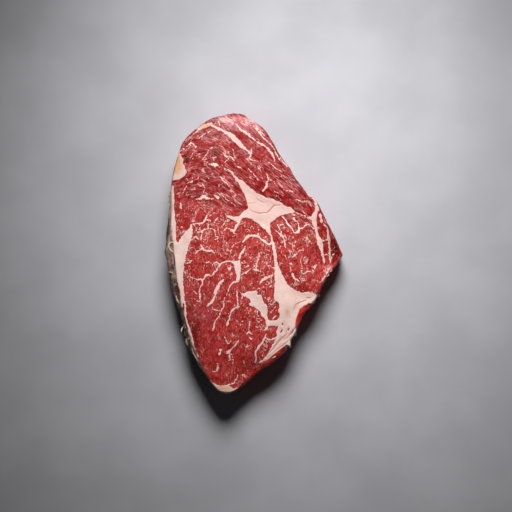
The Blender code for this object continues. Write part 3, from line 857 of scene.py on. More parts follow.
unevenness = 0.5 * cloud(points, 9, 11) + 0.35 * cloud(points, 4, 12)
bloom = patches(drawing, BLOOM_AND_SHEEN) + 0.35 * unevenness
dark = patches(drawing, DARK_AND_SHADE) + 0.16 * (0.6 * cloud(points, 11, 13) + 0.4 * cloud(points, 3.5, 14))
brown = patches(drawing, BROWN)
tan = patches(drawing, TAN_AND_SHADE) * (1 - 0.7 * down[:, 0])
veil = patches(drawing, VEIL)
marbled = 0.55 + patches(drawing, MARBLED)
folded = patches(drawing, [(21, -60, 7, 9, 1.3), (31, -40, 6, 5, 0.7), (12, -72, 6, 4, 0.8)])
streaked = soft_step(16, 34, drawing[:, 1] + 0.25 * drawing[:, 0] + 4 * cloud(points, 12, 15))
print("the bloom is strongest at", round(float(bloom.max()), 2))

# %% [markdown]
# ## The side
#
# Silver skin, the tough grey sheet round a muscle, is left on the long left side. It is brown and dry,
# creased along its length, and it has come away from the band of fat above it. On the lower right the side
# is bare wet lean, except where the fat runs on over the edge. It is painted a brighter red than the lamp
# lights it there, a painted light, and darker low down, a painted shade.
# Elsewhere the drawing runs on down the side under a thin wet film. Masks for these follow the
# angle round the hub. The skin and the film start about at the cut edge, and the bare lean
# a millimetre inside it, on the rounded rim.

# %% Side masks
past_edge = reach - edge(point_angle)                     # negative on the cut faces
dropped = top_height(*drawing.T) - points[:, 2]
below_rim = reach > rim_reach - 0.01
side = np.maximum(soft_step(-0.4, 0.7, past_edge), soft_step(1.5, 4.0, dropped)) * below_rim
turn_degrees = np.degrees(point_angle) % 360 + 4 * cloud(points, 9, 31) * soft_step(0.5, 8, dropped)


def sector(start, stop, fade):
    """1 between two angles round the hub, in degrees, fading to 0 outside them."""
    risen = soft_step(start - fade, start + fade, turn_degrees)
    return risen * (1 - soft_step(stop - fade, stop + fade, turn_degrees))


BARE_SECTORS = [(263, 291.5, 1.5), (302, 321.5, 1.0), (331, 356, 1.5)]
skin = side * sector(146, 252, 4)
bare = soft_step(-1.2, -0.7, past_edge) * below_rim * sum(sector(*ends) for ends in BARE_SECTORS)
film = np.maximum(side - skin - bare, 0)
# Along the skin a dark parting line runs just past the cut edge. It is a painted shadow in the gap where
# the skin has come away from the fat.
parting = 0.45 - np.abs(past_edge - 0.9 - 0.5 * cloud(points, 6, 16))
gap = np.where(sector(171, 232, 4) > 0.5, np.maximum(gap, parting), gap)
print("silver skin covers", round(100 * np.mean(skin[len(top_x) :] > 0.5)), "% of the points off the top")

# %% [markdown]
# ## Relief
#
# The drawing also shapes the surface. Broad fat stands a little proud and is smooth, lean is
# pebbled by its bundles of fibres, the cracks, creases and gaps are grooves, and the silver skin
# is wrinkled. At the lower right the edge is frayed. The points move along the normals of the
# smooth surface by the sum of these, except underneath, where the steak's own weight has
# pressed it flat.


# %% Move the points along their normals
def make_mesh(name, places, corners, sizes):
    """A mesh in metres from the places of its points, the points at the corners of all its faces
    in turn, and how many corners each face has."""
    mesh = bpy.data.meshes.new(name)
    mesh.vertices.add(len(places))
    mesh.loops.add(len(corners))
    mesh.polygons.add(len(sizes))
    mesh.vertices.foreach_set("co", (places * METRES).astype(np.float32).ravel())
    mesh.loops.foreach_set("vertex_index", corners.astype(np.int32))
    mesh.polygons.foreach_set("loop_start", np.concatenate([[0], np.cumsum(sizes)[:-1]]).astype(np.int32))
    mesh.update(calc_edges=True)
    mesh.shade_smooth()
    return mesh


corners, sizes = np.concatenate(corner_points), np.concatenate(face_sizes)
smooth_mesh = make_mesh("smooth", points, corners, sizes)
normals = np.empty(len(points) * 3, np.float32)
smooth_mesh.vertex_normals.foreach_get("vector", normals)
normals = normals.reshape(-1, 3)
bpy.data.meshes.remove(smooth_mesh)

lean = 1 - soft_step(-0.4, 0.6, np.maximum(fat, vein))
relief = 0.30 * cloud(points, 7, 21) + lean * (
    0.20 * cloud(points, 2.6, 22) + 0.12 * cloud(points, 1.3, 23)
)
relief += 0.16 * soft_step(-0.6, 0.9, fat) + 0.06 * soft_step(-0.4, 0.4, vein)
relief -= (
    0.5 * soft_step(-0.5, 0.3, gap) + 0.3 * soft_step(-0.4, 0.2, crack) + 0.3 * soft_step(-0.4, 0.3, crease)
)
wrinkles = cloud(points, (9, 9, 1.8), 24) + 0.6 * cloud(points, (5, 5, 0.9), 25)
relief += skin * (0.7 * wrinkles + 0.9 * cloud(points, 11, 26))
relief += (film + bare) * (0.35 * cloud(points, (5, 5, 2.2), 27) + 0.6 * cloud(points, 12, 28))
frayed = sector(292, 345, 4) * soft_step(-2.0, -0.5, past_edge) * soft_step(9, 4, dropped)
relief += frayed * (0.55 * cloud(points, 1.6, 29) + 0.35 * cloud(points, 3.2, 30))
lifted = soft_step(0, 5, points[:, 2])
shaped = points + (relief * lifted)[:, None] * normals
shaped[:, 2] = np.maximum(shaped[:, 2], 0)
print("the relief runs from", round(float(relief.min()), 2), "to", round(float(relief.max()), 2), "mm")

# %% Make the steak
steak = bpy.data.objects.new("steak_surface", make_mesh("steak_surface", shaped, corners, sizes))
bpy.context.scene.collection.objects.link(steak)
steak.data.uv_layers.new(name="OFBake").data.foreach_set(
    "uv", np.concatenate(corner_uvs).astype(np.float32).ravel()
)
FIELDS = {
    "fat": fat, "vein": vein, "crack": crack, "crease": crease, "gap": gap,
    "bloom": bloom, "dark": dark, "brown": brown, "tan": tan, "veil": veil,
    "marbled": marbled, "folded": folded, "streaked": streaked,
    "skin": skin, "bare": bare, "film": film,
}
for field, values in FIELDS.items():
    steak.data.attributes.new(field, "FLOAT", "POINT").data.foreach_set("value", values.astype(np.float32))
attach(steak, "root")
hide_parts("steak")
print(steak.name, "has", len(steak.data.polygons), "faces and", len(FIELDS), "painted fields")

# %% [markdown]
# ## Loose shreds
#
# Where the silver skin has been pulled it hangs in shreds, and crumbs of fat stick out of the
# frayed edge. Each shred is a thin strap swept along a few points. They are given in plan, and
# the height comes from the side of the steak there, read from its profile backwards.

# %% Where the shreds run
SHREDS = {                 # X, Y, width, height over the side
    "skin_shreds": [
        [(-58.6, 43.5, 0.5, 0), (-60.3, 42.6, 1.3, 0.4), (-61, 40.6, 1.5, 0.4), (-60.4, 38.8, 0.8, 0)],
        [(-59.6, 38, 0.6, 0), (-60.6, 36.6, 1.1, 0.5), (-60.9, 34.5, 1, 0.3), (-60.2, 33, 0.4, 0)],
        [(-57.6, 7.4, 0.6, 0), (-59.4, 7.2, 0.9, 0.8), (-60.8, 5.8, 1, 1.2), (-60.9, 3.8, 0.9, 1.2),
         (-59.8, 1.8, 0.8, 0.8), (-58.2, 0.6, 0.7, 0.3), (-57.4, 0.4, 0.4, 0)],
        [(-61.4, -1, 0.8, 0), (-61.5, -2.8, 1.3, 0.2), (-61.2, -4.4, 0.6, 0)],
        [(-60.9, -12.8, 0.5, 0), (-60.4, -13.9, 1.1, 0.4), (-58.9, -14.4, 1, 0.4),
         (-57.6, -15.2, 0.4, 0)],
        [(-55.9, -30.6, 0.5, 0), (-55.4, -32.6, 1, 0.3), (-54.5, -34.8, 1.1, 0.3),
         (-53.4, -36.6, 0.4, 0)],
        [(-50.6, -52.6, 0.5, 0), (-51.6, -54, 1, 0.5), (-52.2, -55.8, 1.1, 0.6),
         (-52.3, -57.2, 0.4, 0.3)],
        [(-48.9, -53.4, 0.6, 0), (-49.8, -55.6, 0.9, 0.8), (-49.7, -58.4, 0.8, 1),
         (-48.3, -60.6, 0.7, 0.9),
         (-47, -61.8, 0.9, 0.5), (-46.4, -60.6, 0.6, 0.2)],
        [(-48.6, -61, 0.5, 0.4), (-48.7, -63.4, 1.1, 0.7), (-47.8, -65.8, 1.4, 0.7),
         (-46.4, -67.6, 1, 0.4),
         (-45.4, -67, 0.5, 0)],
        [(-44.6, -68, 0.4, 0), (-43.6, -71.5, 0.7, 0.4), (-41.6, -75, 0.6, 0.3), (-39.8, -78, 0.3, 0)],
    ],
    "fat_shreds": [
        [(24.2, -65.4, 0.8, 0), (25.4, -67, 1.4, 0.3), (25.4, -68.4, 0.5, 0.4)],
        [(28.2, -57, 0.6, 0.2), (29.4, -58.2, 1.4, 1.2), (29.2, -59.6, 0.6, 1.4)],
        [(43.6, -30, 0.6, 0.2), (45.6, -29.8, 1.2, 0.6), (46.4, -31, 0.9, 1), (45.6, -32, 0.5, 1)],
        [(54, -11.2, 0.6, 0), (55, -12.6, 1.3, 0.2), (54.2, -14, 0.7, 0)],
        [(52.2, -14.4, 0.7, 0), (52.8, -16, 1.4, 0.3), (51.6, -17, 0.7, 0)],
        [(49.8, -18, 0.6, 0), (50.4, -19.4, 1.2, 0.2), (49.4, -20.6, 0.6, 0)],
        [(12.8, -75.2, 0.4, 0), (14, -74.6, 0.8, 0.1), (15.2, -73.8, 0.4, 0)],
    ],
}
STRAP_SIDES = 8
FLATNESS = 0.45            # a strap's thickness over its width
LOWEST_SHRED = 24.0        # straps that stand out past the side hang no lower


# %% Make the shreds
def side_height(x, y):
    """The height of the steak's side under a place in plan."""
    angle = np.array([math.atan2(y - HUB[1], x - HUB[0])])
    profile = np.vstack([side_ring(angle, lift) for lift in np.linspace(1, 0, 40)])
    return np.interp(math.hypot(x - HUB[0], y - HUB[1]), np.hypot(*(profile[:, :2] - HUB).T), profile[:, 2])


def strap(route):
    """A strap swept along a route: rings of points round it and the faces between them. The
    section is an ellipse, level across, and both ends close on their middle points."""
    heights = [max(side_height(x, y), LOWEST_SHRED) + rise for x, y, width, rise in route]
    route = np.array([(x, y, height, width) for (x, y, width, rise), height in zip(route, heights)])
    line = smooth_curve(route, closed=False, per_span=4)
    middle, width = line[:, :3], line[:, 3, None]
    forward = np.gradient(middle, axis=0)
    forward /= np.linalg.norm(forward, axis=1, keepdims=True)
    across = np.cross(forward, (0, 0, 1))
    across /= np.linalg.norm(across, axis=1, keepdims=True)
    above = np.cross(across, forward)
    turn = np.linspace(0, 2 * math.pi, STRAP_SIDES, endpoint=False)[None, :, None]
    spread = np.cos(turn) * across[:, None] + FLATNESS * np.sin(turn) * above[:, None]
    rings = middle[:, None] + spread * width[:, None] / 2
    places = np.vstack([rings.reshape(-1, 3), middle[0], middle[-1]])
    row, step = np.meshgrid(np.arange(len(line) - 1), np.arange(STRAP_SIDES), indexing="ij")
    here, beyond = row * STRAP_SIDES, (row + 1) * STRAP_SIDES
    next_step = (step + 1) % STRAP_SIDES
    quads = np.stack([here + step, here + next_step, beyond + next_step, beyond + step], axis=-1)
    around = np.arange(STRAP_SIDES)
    last = (len(line) - 1) * STRAP_SIDES
    start = np.stack([np.full(STRAP_SIDES, len(places) - 2), (around + 1) % STRAP_SIDES, around], axis=-1)
    end = np.stack(
        [np.full(STRAP_SIDES, len(places) - 1), last + around, last + (around + 1) % STRAP_SIDES], axis=-1
    )
    return places, quads.reshape(-1, 4), np.vstack([start, end])


def make_straps(name, routes):
    """One piece of all the straps."""
    places, corner_list, size_list, count = [], [], [], 0
    for route in routes:
        strap_places, quads, triangles = strap(route)
        corner_list += [quads.ravel() + count, triangles.ravel() + count]
        size_list += [np.full(len(quads), 4), np.full(len(triangles), 3)]
        places.append(strap_places)
        count += len(strap_places)
    mesh = make_mesh(name, np.vstack(places), np.concatenate(corner_list), np.concatenate(size_list))
    piece = bpy.data.objects.new(name, mesh)
    bpy.context.scene.collection.objects.link(piece)
    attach(piece, "root")
    return piece


shreds = {name: make_straps(name, routes) for name, routes in SHREDS.items()}
print({name: len(piece.data.polygons) for name, piece in shreds.items()}, "faces of shreds")

# %% [markdown]
# ## A small language for shaders
#
# Node trees are hard to read, so shader maths is written as plain expressions. A `Signal` is
# the output of a node. Adding or multiplying signals adds the Math node that does it, and
# `node` adds any other node.


# %% Signal
class Signal:
    """One socket of a node tree, on which arithmetic adds nodes."""

    def __init__(self, tree, socket=None):
        self.tree, self.socket = tree, socket

    def node(self, kind, settings=None, output=0, **sockets):
        """Adds a node of that kind: its settings first, then its sockets. A socket's name is
        written with _ for a space, and in0, in1 and so on mean its number."""
        made = self.tree.nodes.new(kind)
        for name, value in (settings or {}).items():
            if name == "stops":
                for stop, (place, colour) in zip(self.stops(made, len(value)), value):
                    stop.position, stop.color = place, colour
            else:
                setattr(made, name, value)
        for name, value in sockets.items():
            numbered = name[:2] == "in" and name[2:].isdigit()
            target = made.inputs[int(name[2:]) if numbered else name.replace("_", " ")]
            if isinstance(value, Signal):
                self.tree.links.new(value.socket, target)
            else:
                target.default_value = value
        return Signal(self.tree, made.outputs[output] if made.outputs else None)

    @staticmethod
    def stops(ramp, count):
        while len(ramp.color_ramp.elements) < count:
            ramp.color_ramp.elements.new(1.0)
        return ramp.color_ramp.elements

    def maths(self, operation, *values):
        values = {f"in{i}": value for i, value in enumerate(values)}
        return self.node("ShaderNodeMath", {"operation": operation}, **values)

    def __add__(self, other):
        return self.maths("ADD", self, other)

    def __sub__(self, other):
        return self.maths("SUBTRACT", self, other)

    def __rsub__(self, other):
        return self.maths("SUBTRACT", other, self)

    def __mul__(self, other):
        return self.maths("MULTIPLY", self, other)

    __radd__, __rmul__ = __add__, __mul__

    def most(self, other):
        return self.maths("MAXIMUM", self, other)

    def step(self, low, high, to_low=0.0, to_high=1.0):
        """A soft step from to_low to to_high as the signal goes from low to high."""
        ends = {"From_Min": low, "From_Max": high, "To_Min": to_low, "To_Max": to_high}
        return self.node("ShaderNodeMapRange", {"interpolation_type": "SMOOTHSTEP"}, Value=self, **ends)

    def mixed(self, first, second):
        """The number `first` where the signal is 0 and `second` where it is 1."""
        return self.node("ShaderNodeMix", {"data_type": "FLOAT"}, in0=self, in2=first, in3=second)

    def between(self, first, second):
        """The colour `first` where the signal is 0 and `second` where it is 1."""
        colours = {"in6": first, "in7": second}
        return self.node("ShaderNodeMix", {"data_type": "RGBA"}, output=2, in0=self, **colours)


def red_green_blue(red, green, blue):
    """A colour given as on a screen, from 0 to 255, in the linear light that shaders use."""
    screen = np.array([red, green, blue]) / 255
    linear = np.where(screen <= 0.04045, screen / 12.92, ((screen + 0.055) / 1.055) ** 2.4)
    return (*linear.tolist(), 1.0)


# %% [markdown]
# ## The meat's finish
#
# The shader reads the painted depths and blurs nothing: each one goes through a narrow soft
# step, so that the edge of a vein is crisp at any distance. Finer than the drawing come layers
# that are only noise: the borders of bundles as the edges of Voronoi cells, dots of fat at some
# of the middles of other cells, wisps along the level lines of a noise, and a grain of fibres.
# The cap muscle is cut aslant, so its pattern is drawn out along the fibres, and the eye muscle
# is cut straight across.

# %% Start the material
material = bpy.data.materials.new("raw_beef_surface")
material.use_nodes = True
tree = material.node_tree
principled = tree.nodes["Principled BSDF"]
start = Signal(tree)


def painted(field):
    return start.node("ShaderNodeAttribute", {"attribute_name": field}, output=2)


RIDGE, RIDGE_ROUNDING, ARCH_SLOPE = -38.0, 11.0, math.radians(38)      # of the cap's fibres
where = start.node("ShaderNodeTexCoord", output=3)
place = start.node("ShaderNodeVectorMath", {"operation": "SCALE"}, in0=where, Scale=1 / METRES)


def drawn_out(angle, along, across):
    """The place in a frame turned by that angle and divided by the two lengths, in mm."""
    turned = {"Rotation": (0, 0, math.radians(angle)), "Scale": (along, across, across)}
    return place.node("ShaderNodeMapping", {"vector_type": "TEXTURE"}, Vector=place, **turned)


def arched(along, across):
    """The place measured along and across a set of equal arches, divided by the two lengths. The
    arches are hyperbolas: rounded at the ridge and straight slopes on both sides of it."""
    x, y, z = (start.node("ShaderNodeSeparateXYZ", output=i, Vector=place) for i in range(3))
    aside = x - RIDGE
    below_ridge = aside.maths("SQRT", aside * aside + RIDGE_ROUNDING**2) * math.tan(ARCH_SLOPE)
    level = (y + below_ridge) * (math.cos(ARCH_SLOPE) / across)
    axes = {"X": x * (1 / (along * math.cos(ARCH_SLOPE))), "Y": level, "Z": z * (1 / across)}
    return start.node("ShaderNodeCombineXYZ", **axes)


def noise(vector, scale=1.0, detail=2.0, distortion=0.0):
    settings = {"Scale": scale, "Detail": detail, "Roughness": 0.55, "Distortion": distortion}
    return start.node("ShaderNodeTexNoise", Vector=vector, **settings)


def shaken(vector, amount):
    """The vector with a soft random shift of up to half that amount in each direction."""
    shift = start.node("ShaderNodeTexNoise", output=1, Vector=vector, Scale=0.9, Detail=2.0)
    return shift.node(
        "ShaderNodeVectorMath", {"operation": "MULTIPLY_ADD"}, in0=shift, in1=(amount,) * 3, in2=vector
    )


# %% Bundles, dots, wisps and grain
def fine_pattern(frame, stretch, curl, dotted):
    """The borders of bundles, dots, wisps, grain and swings of tone, drawn out in a frame by
    that stretch. The curl bends the wisps, and of the dots all but that share are left out."""
    bundles = shaken(frame(2.3 * stretch, 2.3), 1.2)
    edge_distance = start.node(
        "ShaderNodeTexVoronoi", {"feature": "DISTANCE_TO_EDGE"}, Vector=bundles, Scale=1.0
    )
    border = edge_distance.step(0.02, 0.09, 1.0, 0.0)
    dots = shaken(frame(2.2 * stretch**0.6, 2.2), 0.6)
    dot_distance, dot_colour = (
        start.node("ShaderNodeTexVoronoi", output=i, Vector=dots, Scale=1.0) for i in (0, 1)
    )
    dot = dot_distance.step(0.13, 0.19, 1.0, 0.0) * dot_colour.step(1 - dotted, 1.02 - dotted)
    level = noise(frame(3.8 * stretch, 3.4 / stretch**0.2), 1.0, 1.2, curl) - 0.5
    wisp = level.maths("ABSOLUTE", level).step(0.010, 0.032, 1.0, 0.0)
    wisp = wisp * noise(frame(7.0, 5.5), 1.0, 1.0).step(0.51, 0.55)
    grain = noise(frame(2.4 * stretch, 0.58), 1.0, 2.0)
    swing = noise(frame(3.6 * stretch, 2.2), 1.0, 2.0, 0.5)
    return border, dot, wisp, grain, swing


def straight(along, across):
    return drawn_out(80, along, across)


cap_pattern = fine_pattern(arched, 3.2, 0.3, 0.35)
eye_pattern = fine_pattern(straight, 1.15, 0.9, 0.42)
streaked_here = painted("streaked")
border, dot, wisp, grain, swing = (
    streaked_here.mixed(eye, cap) for cap, eye in zip(cap_pattern, eye_pattern)
)
print(len(tree.nodes), "nodes make the fine pattern")

# %% Lean
DEEP_RED, MID_RED = red_green_blue(154, 26, 21), red_green_blue(184, 48, 41)         # eye muscle
CAP_DEEP, CAP_MID = red_green_blue(118, 8, 9), red_green_blue(148, 22, 22)
VIVID_RED = red_green_blue(158, 10, 6)
PURPLE, CAP_PURPLE = red_green_blue(180, 70, 78), red_green_blue(182, 78, 88)
NEAR_BLACK_RED = red_green_blue(98, 8, 9)
VEIL_PINK = red_green_blue(236, 182, 182)
BROWN_RED = red_green_blue(132, 62, 36)
BORDER_PINK = red_green_blue(210, 116, 108)
GRAIN_PINK = red_green_blue(206, 92, 92)
FLECK_PINK = red_green_blue(246, 204, 194)
mottle = noise(place, 0.16, 4.0)
tone = painted("bloom") + (swing - 0.5) * (1.2 + 3.8 * streaked_here)
deep, mid = streaked_here.between(DEEP_RED, CAP_DEEP), streaked_here.between(MID_RED, CAP_MID)
purple = streaked_here.between(PURPLE, CAP_PURPLE)
lean_colour = (mottle + 0.4 * (grain - 0.5)).step(0.36, 0.60).between(deep, mid)
lean_colour = tone.step(-1.3, 0.0, 0.85, 0.0).between(lean_colour, VIVID_RED)
# Where the tone is high the red turns purplish. This is bloom and streaks, and in a few patches a painted
# sheen.
lean_colour = tone.step(0.0, 1.5, 0.0, 0.85).between(lean_colour, purple)
# Darkness is darker meat in places. Near the rim, at the pointed corner and at the tip it is painted shade.
darkness_and_shade = painted("dark") + 0.5 * (mottle - 0.5) - 1.2 * streaked_here * (swing - 0.5)
darkness_and_shade = darkness_and_shade.step(0.1, 1.1, 0.0, 0.85)
lean_colour = darkness_and_shade.between(lean_colour, NEAR_BLACK_RED)
browned = (painted("brown") + 0.6 * (swing - 0.5)).step(0.1, 1.0, 0.0, 0.75)
lean_colour = browned.between(lean_colour, BROWN_RED)
grain_depth = grain.step(0.36, 0.49, 1.0, 0.0) * (0.36 + 0.34 * streaked_here)
lean_colour = grain_depth.between(lean_colour, red_green_blue(108, 8, 14))
pale_zone = swing.step(0.42, 0.58)
calm = tone.step(-1.5, 0.0, 0.3, 1.0)
grain_light = grain.step(0.52, 0.64, 0.0, 0.6) * (0.25 + 0.75 * pale_zone) * calm
lean_colour = grain_light.between(lean_colour, GRAIN_PINK)
veil_mask = (painted("veil") + 2.2 * (grain - 0.5)).step(0.35, 0.9, 0.0, 0.8)
lean_colour = veil_mask.between(lean_colour, VEIL_PINK)
marbling = painted("marbled") + 1.2 * (noise(place, 0.22, 2.0) - 0.5)
border_amount = border * marbling.step(0.0, 1.0, 0.08, 0.6) * (0.4 + 0.7 * pale_zone) * calm
lean_colour = border_amount.between(lean_colour, BORDER_PINK)
fleck_strength = 1 - 0.38 * streaked_here
wisp_amount = wisp * marbling.step(0.2, 0.8, 0.15, 0.95) * fleck_strength
lean_colour = wisp_amount.between(lean_colour, FLECK_PINK)
dot_amount = dot * marbling.step(0.2, 0.9, 0.2, 1.0) * fleck_strength
lean_colour = dot_amount.between(lean_colour, FLECK_PINK)

# %% Fat
FAT_PINK = red_green_blue(241, 204, 198)
FAT_CREAM = red_green_blue(238, 212, 200)
FAT_TAN = red_green_blue(216, 160, 116)
FAT_WARM, FAT_SHADE = red_green_blue(240, 192, 168), red_green_blue(226, 176, 162)
FAT_SHADED_DULL, FAT_PALE = red_green_blue(222, 184, 176), red_green_blue(252, 226, 212)
VEIN_PINK = red_green_blue(246, 206, 198)
edge_noise = noise(place, 1.1, 3.0) - 0.5
scallops = noise(place, 0.42, 1.0) - 0.5
fat_mask = (painted("fat") + edge_noise * 1.3 + scallops * 1.3).step(-0.10, 0.14)
vein_mask = (painted("vein") + edge_noise * 1.9).step(-0.12, 0.12)
fat_colour = noise(place, 0.35, 3.0).step(0.35, 0.65).between(FAT_PINK, FAT_CREAM)
fat_colour = noise(place, 0.16, 4.0).step(0.48, 0.68, 0.0, 0.6).between(fat_colour, FAT_WARM)
fat_colour = noise(place, 0.9, 2.0).step(0.56, 0.70, 0.0, 0.5).between(fat_colour, FAT_SHADE)
# Towards the cap end the fat turns duller. This is a painted shade that evens out the lamp's brighter light
# there.
fat_colour = (streaked_here * 0.75).between(fat_colour, FAT_SHADED_DULL)
fat_colour = painted("tan").step(-0.8, -0.05, 0.8, 0.0).between(fat_colour, FAT_PALE)
fat_colour = painted("tan").step(0.05, 1.0).between(fat_colour, FAT_TAN)
# Creases and the fine folds of the lower right fat are painted darker on fat and lean. This is painted
# shade in the folds.
crease_shade_mask = (painted("crease") + edge_noise * 0.8).step(-0.3, 0.2)
folds = noise(drawn_out(50, 9, 0.9), 1.0, 3.0).step(0.52, 0.62) * painted("folded").step(0.1, 0.9)
crease_shade_mask = crease_shade_mask.most(folds * 0.55)
fat_colour = (crease_shade_mask * 0.75).between(fat_colour, red_green_blue(196, 136, 120))
lean_colour = (crease_shade_mask * 0.45).between(lean_colour, NEAR_BLACK_RED)
near_fat = painted("fat").most(painted("vein")).step(-0.9, -0.3, 0.0, 0.45)
colour = near_fat.between(lean_colour, DEEP_RED)
colour = vein_mask.between(colour, VEIN_PINK)
colour = fat_mask.between(colour, fat_colour)

# %% Cracks, gaps and sides
crack_mask = (painted("crack") + edge_noise * 0.2).step(-0.25, 0.1)
gap_shadow_mask = (painted("gap") + edge_noise * 0.4).step(-0.3, 0.1)
colour = (crack_mask * 0.75).between(colour, red_green_blue(196, 104, 72))
layered = place.node("ShaderNodeVectorMath", {"operation": "MULTIPLY"}, in0=place, in1=(0.14, 0.14, 0.6))
layers = noise(layered, 1.0, 4.0)
height_up = place.node("ShaderNodeSeparateXYZ", output=2, Vector=place)
# The skin darkens towards the floor. This is partly its layers and partly a painted shade as the side turns
# away from the light.
skin_tone_and_shade = layers + (height_up - 20.0) * 0.010
skin_colour = start.node(
    "ShaderNodeValToRGB",
    {"stops": [
        (0.26, red_green_blue(30, 19, 16)), (0.42, red_green_blue(74, 53, 47)),
        (0.56, red_green_blue(120, 93, 87)), (0.66, red_green_blue(146, 117, 107)),
        (0.78, red_green_blue(196, 170, 150)),
    ]},
    Fac=skin_tone_and_shade,
)
holes = noise(place, 0.34, 3.0)
skin_colour = holes.step(0.38, 0.46, 0.7, 0.0).between(skin_colour, red_green_blue(44, 29, 22))
skin_colour = holes.step(0.60, 0.66, 0.0, 0.5).between(skin_colour, red_green_blue(196, 172, 142))
FILM_RED, FILM_PINK = red_green_blue(104, 14, 12), red_green_blue(168, 84, 78)
side_cells = shaken(drawn_out(20, 11, 5), 1.6)
seams = start.node("ShaderNodeTexVoronoi", {"feature": "DISTANCE_TO_EDGE"}, Vector=side_cells, Scale=1.0)
broken_up = noise(place, 0.25, 1.0).step(0.5, 0.6, 0.0, 0.7)
film_colour = layers.step(0.4, 0.65).between(FILM_RED, FILM_PINK)
# The bare side is painted a brighter red than the lean. This is painted light where the side turns away
# from the lamp. Low on the right the dark patches darken it, a painted shade.
bare_painted_light_colour = layers.step(0.36, 0.58).between(red_green_blue(206, 26, 21), red_green_blue(246, 66, 52))
bare_painted_light_colour = (0.25 + 0.3 * grain_light).between(bare_painted_light_colour, lean_colour)
bare_painted_light_colour = (darkness_and_shade * 0.35).between(bare_painted_light_colour, NEAR_BLACK_RED)
bare_painted_light_colour = (seams.step(0.02, 0.05, 1.0, 0.0) * broken_up).between(bare_painted_light_colour, BORDER_PINK)
colour = (painted("film") * 0.45).between(colour, film_colour)
colour = painted("bare").between(colour, bare_painted_light_colour)
colour = painted("skin").between(colour, skin_colour)
# Gaps are painted dark brown. This is a painted shadow in each opening.
colour = (gap_shadow_mask * 0.9).between(colour, red_green_blue(84, 50, 50))

# %% Roughness and bump
smooth_fat = fat_mask.most(vein_mask)
roughness = 0.36 + 0.14 * smooth_fat + 0.25 * (noise(place, 0.5, 2.0) - 0.5)
height = (
    0.45 * grain + 0.3 * border + 0.35 * dot + 0.3 * wisp + 0.2 * smooth_fat + 0.3 * noise(place, 1.8, 3.0)
)
height = height - 0.8 * gap_shadow_mask - 0.4 * crack_mask - 0.4 * crease_shade_mask + painted("skin") * layers * 0.9
bump = start.node("ShaderNodeBump", Strength=0.55, Distance=0.45 * METRES, Height=height)
tree.links.new(colour.socket, principled.inputs["Base Color"])
tree.links.new(roughness.socket, principled.inputs["Roughness"])
tree.links.new(bump.socket, principled.inputs["Normal"])
principled.inputs["Metallic"].default_value = 0.0
principled.inputs["Subsurface Weight"].default_value = 0.12
principled.inputs["Subsurface Radius"].default_value = (1.0, 0.35, 0.25)
principled.inputs["Subsurface Scale"].default_value = 1.5 * METRES
principled.inputs["Specular IOR Level"].default_value = 0.17
principled.inputs["Coat Weight"].default_value = 0.05
principled.inputs["Coat Roughness"].default_value = 0.22
steak.data.materials.append(material)
print("the finish has", len(tree.nodes), "nodes")

# %% Finish of the shreds
def shred_material(name, dark, pale):
    """A damp material whose colour swings between two."""
    made = bpy.data.materials.new(name)
    made.use_nodes = True
    signal = Signal(made.node_tree)
    shader = made.node_tree.nodes["Principled BSDF"]
    where = signal.node("ShaderNodeTexCoord", output=3)
    swing = signal.node("ShaderNodeTexNoise", Vector=where, Scale=0.45 / METRES, Detail=3.0)
    made.node_tree.links.new(swing.step(0.38, 0.6).between(dark, pale).socket, shader.inputs["Base Color"])
    shader.inputs["Roughness"].default_value = 0.42
    return made


shreds["skin_shreds"].data.materials.append(
    shred_material("loose_silver_skin", red_green_blue(172, 142, 108), red_green_blue(226, 206, 176))
)
shreds["fat_shreds"].data.materials.append(
    shred_material("loose_fat", red_green_blue(214, 150, 138), red_green_blue(242, 212, 204))
)

# %% [markdown]
# ## Floor, light and camera
#
# The steak lies on a plain pale floor. One soft lamp hangs beyond the blunt end, half way between
# level and overhead, and near enough that the tip is dimmer. A faint even light fills the
# shadow. The camera looks straight down.

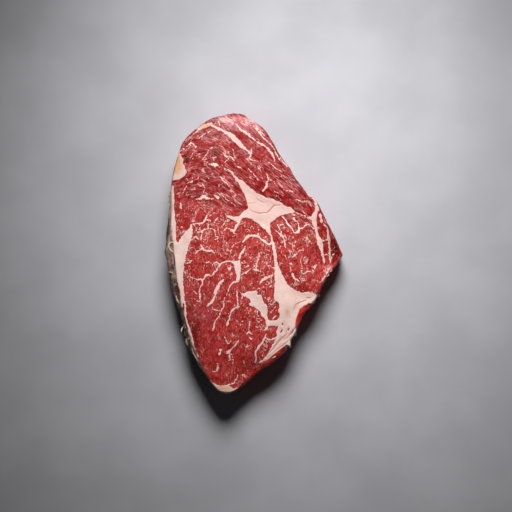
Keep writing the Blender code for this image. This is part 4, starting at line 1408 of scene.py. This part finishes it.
# %% Floor
FLOOR_SIDE = 3.0
bpy.ops.mesh.primitive_plane_add(size=FLOOR_SIDE, location=(0, 0, 0))
floor = bpy.context.object
floor.name = "floor"
floor_material = bpy.data.materials.new("pale_floor")
floor_material.use_nodes = True
floor_start = Signal(floor_material.node_tree)
floor_shader = floor_material.node_tree.nodes["Principled BSDF"]
floor_mottle = floor_start.node("ShaderNodeTexNoise", Scale=60.0, Detail=6.0)
floor_colour = floor_mottle.step(0.3, 0.7).between(
    red_green_blue(184, 183, 188), red_green_blue(194, 193, 198)
)
floor_material.node_tree.links.new(floor_colour.socket, floor_shader.inputs["Base Color"])
floor_shader.inputs["Roughness"].default_value = 0.7
floor.data.materials.append(floor_material)

# %% Light
LAMP_TURN, LAMP_RISE, LAMP_AWAY = math.radians(96), math.radians(51), 0.54
LAMP_AIM = np.array([0.05, 0.01, 0.0])
LAMP_SIZE, LAMP_POWER, LAMP_SPREAD = 0.25, 0.73, math.radians(72)
FILL_COLOUR, FILL_STRENGTH = (0.9, 0.93, 1.0, 1.0), 0.020
lamp_place = LAMP_AIM + LAMP_AWAY * np.array([
    math.cos(LAMP_RISE) * math.cos(LAMP_TURN),
    math.cos(LAMP_RISE) * math.sin(LAMP_TURN),
    math.sin(LAMP_RISE),
])
lamp_data = bpy.data.lights.new("key", "AREA")
lamp_data.shape, lamp_data.size = "DISK", LAMP_SIZE
lamp_data.energy, lamp_data.spread = LAMP_POWER, LAMP_SPREAD
lamp = bpy.data.objects.new("key", lamp_data)
lamp.location = lamp_place
lamp.rotation_euler = (math.pi / 2 - LAMP_RISE, 0, LAMP_TURN + math.pi / 2)
bpy.context.scene.collection.objects.link(lamp)
world = bpy.data.worlds.new("studio")
world.use_nodes = True
background = world.node_tree.nodes["Background"]
background.inputs["Color"].default_value = FILL_COLOUR
background.inputs["Strength"].default_value = FILL_STRENGTH
bpy.context.scene.world = world
bpy.context.scene.view_settings.view_transform = "Standard"

# %% Camera
LENS, SENSOR = 85.0, 36.0
FIELD = 0.3635             # width of the view at the top of the steak
camera_data = bpy.data.cameras.new("above")
camera_data.lens, camera_data.sensor_width = LENS, SENSOR
camera = bpy.data.objects.new("above", camera_data)
camera.location = (0.0011, -0.0025, THICKNESS * METRES + FIELD * LENS / SENSOR)
bpy.context.scene.collection.objects.link(camera)
bpy.context.scene.camera = camera
print("the camera is", round(camera.location.z, 3), "m above the floor")
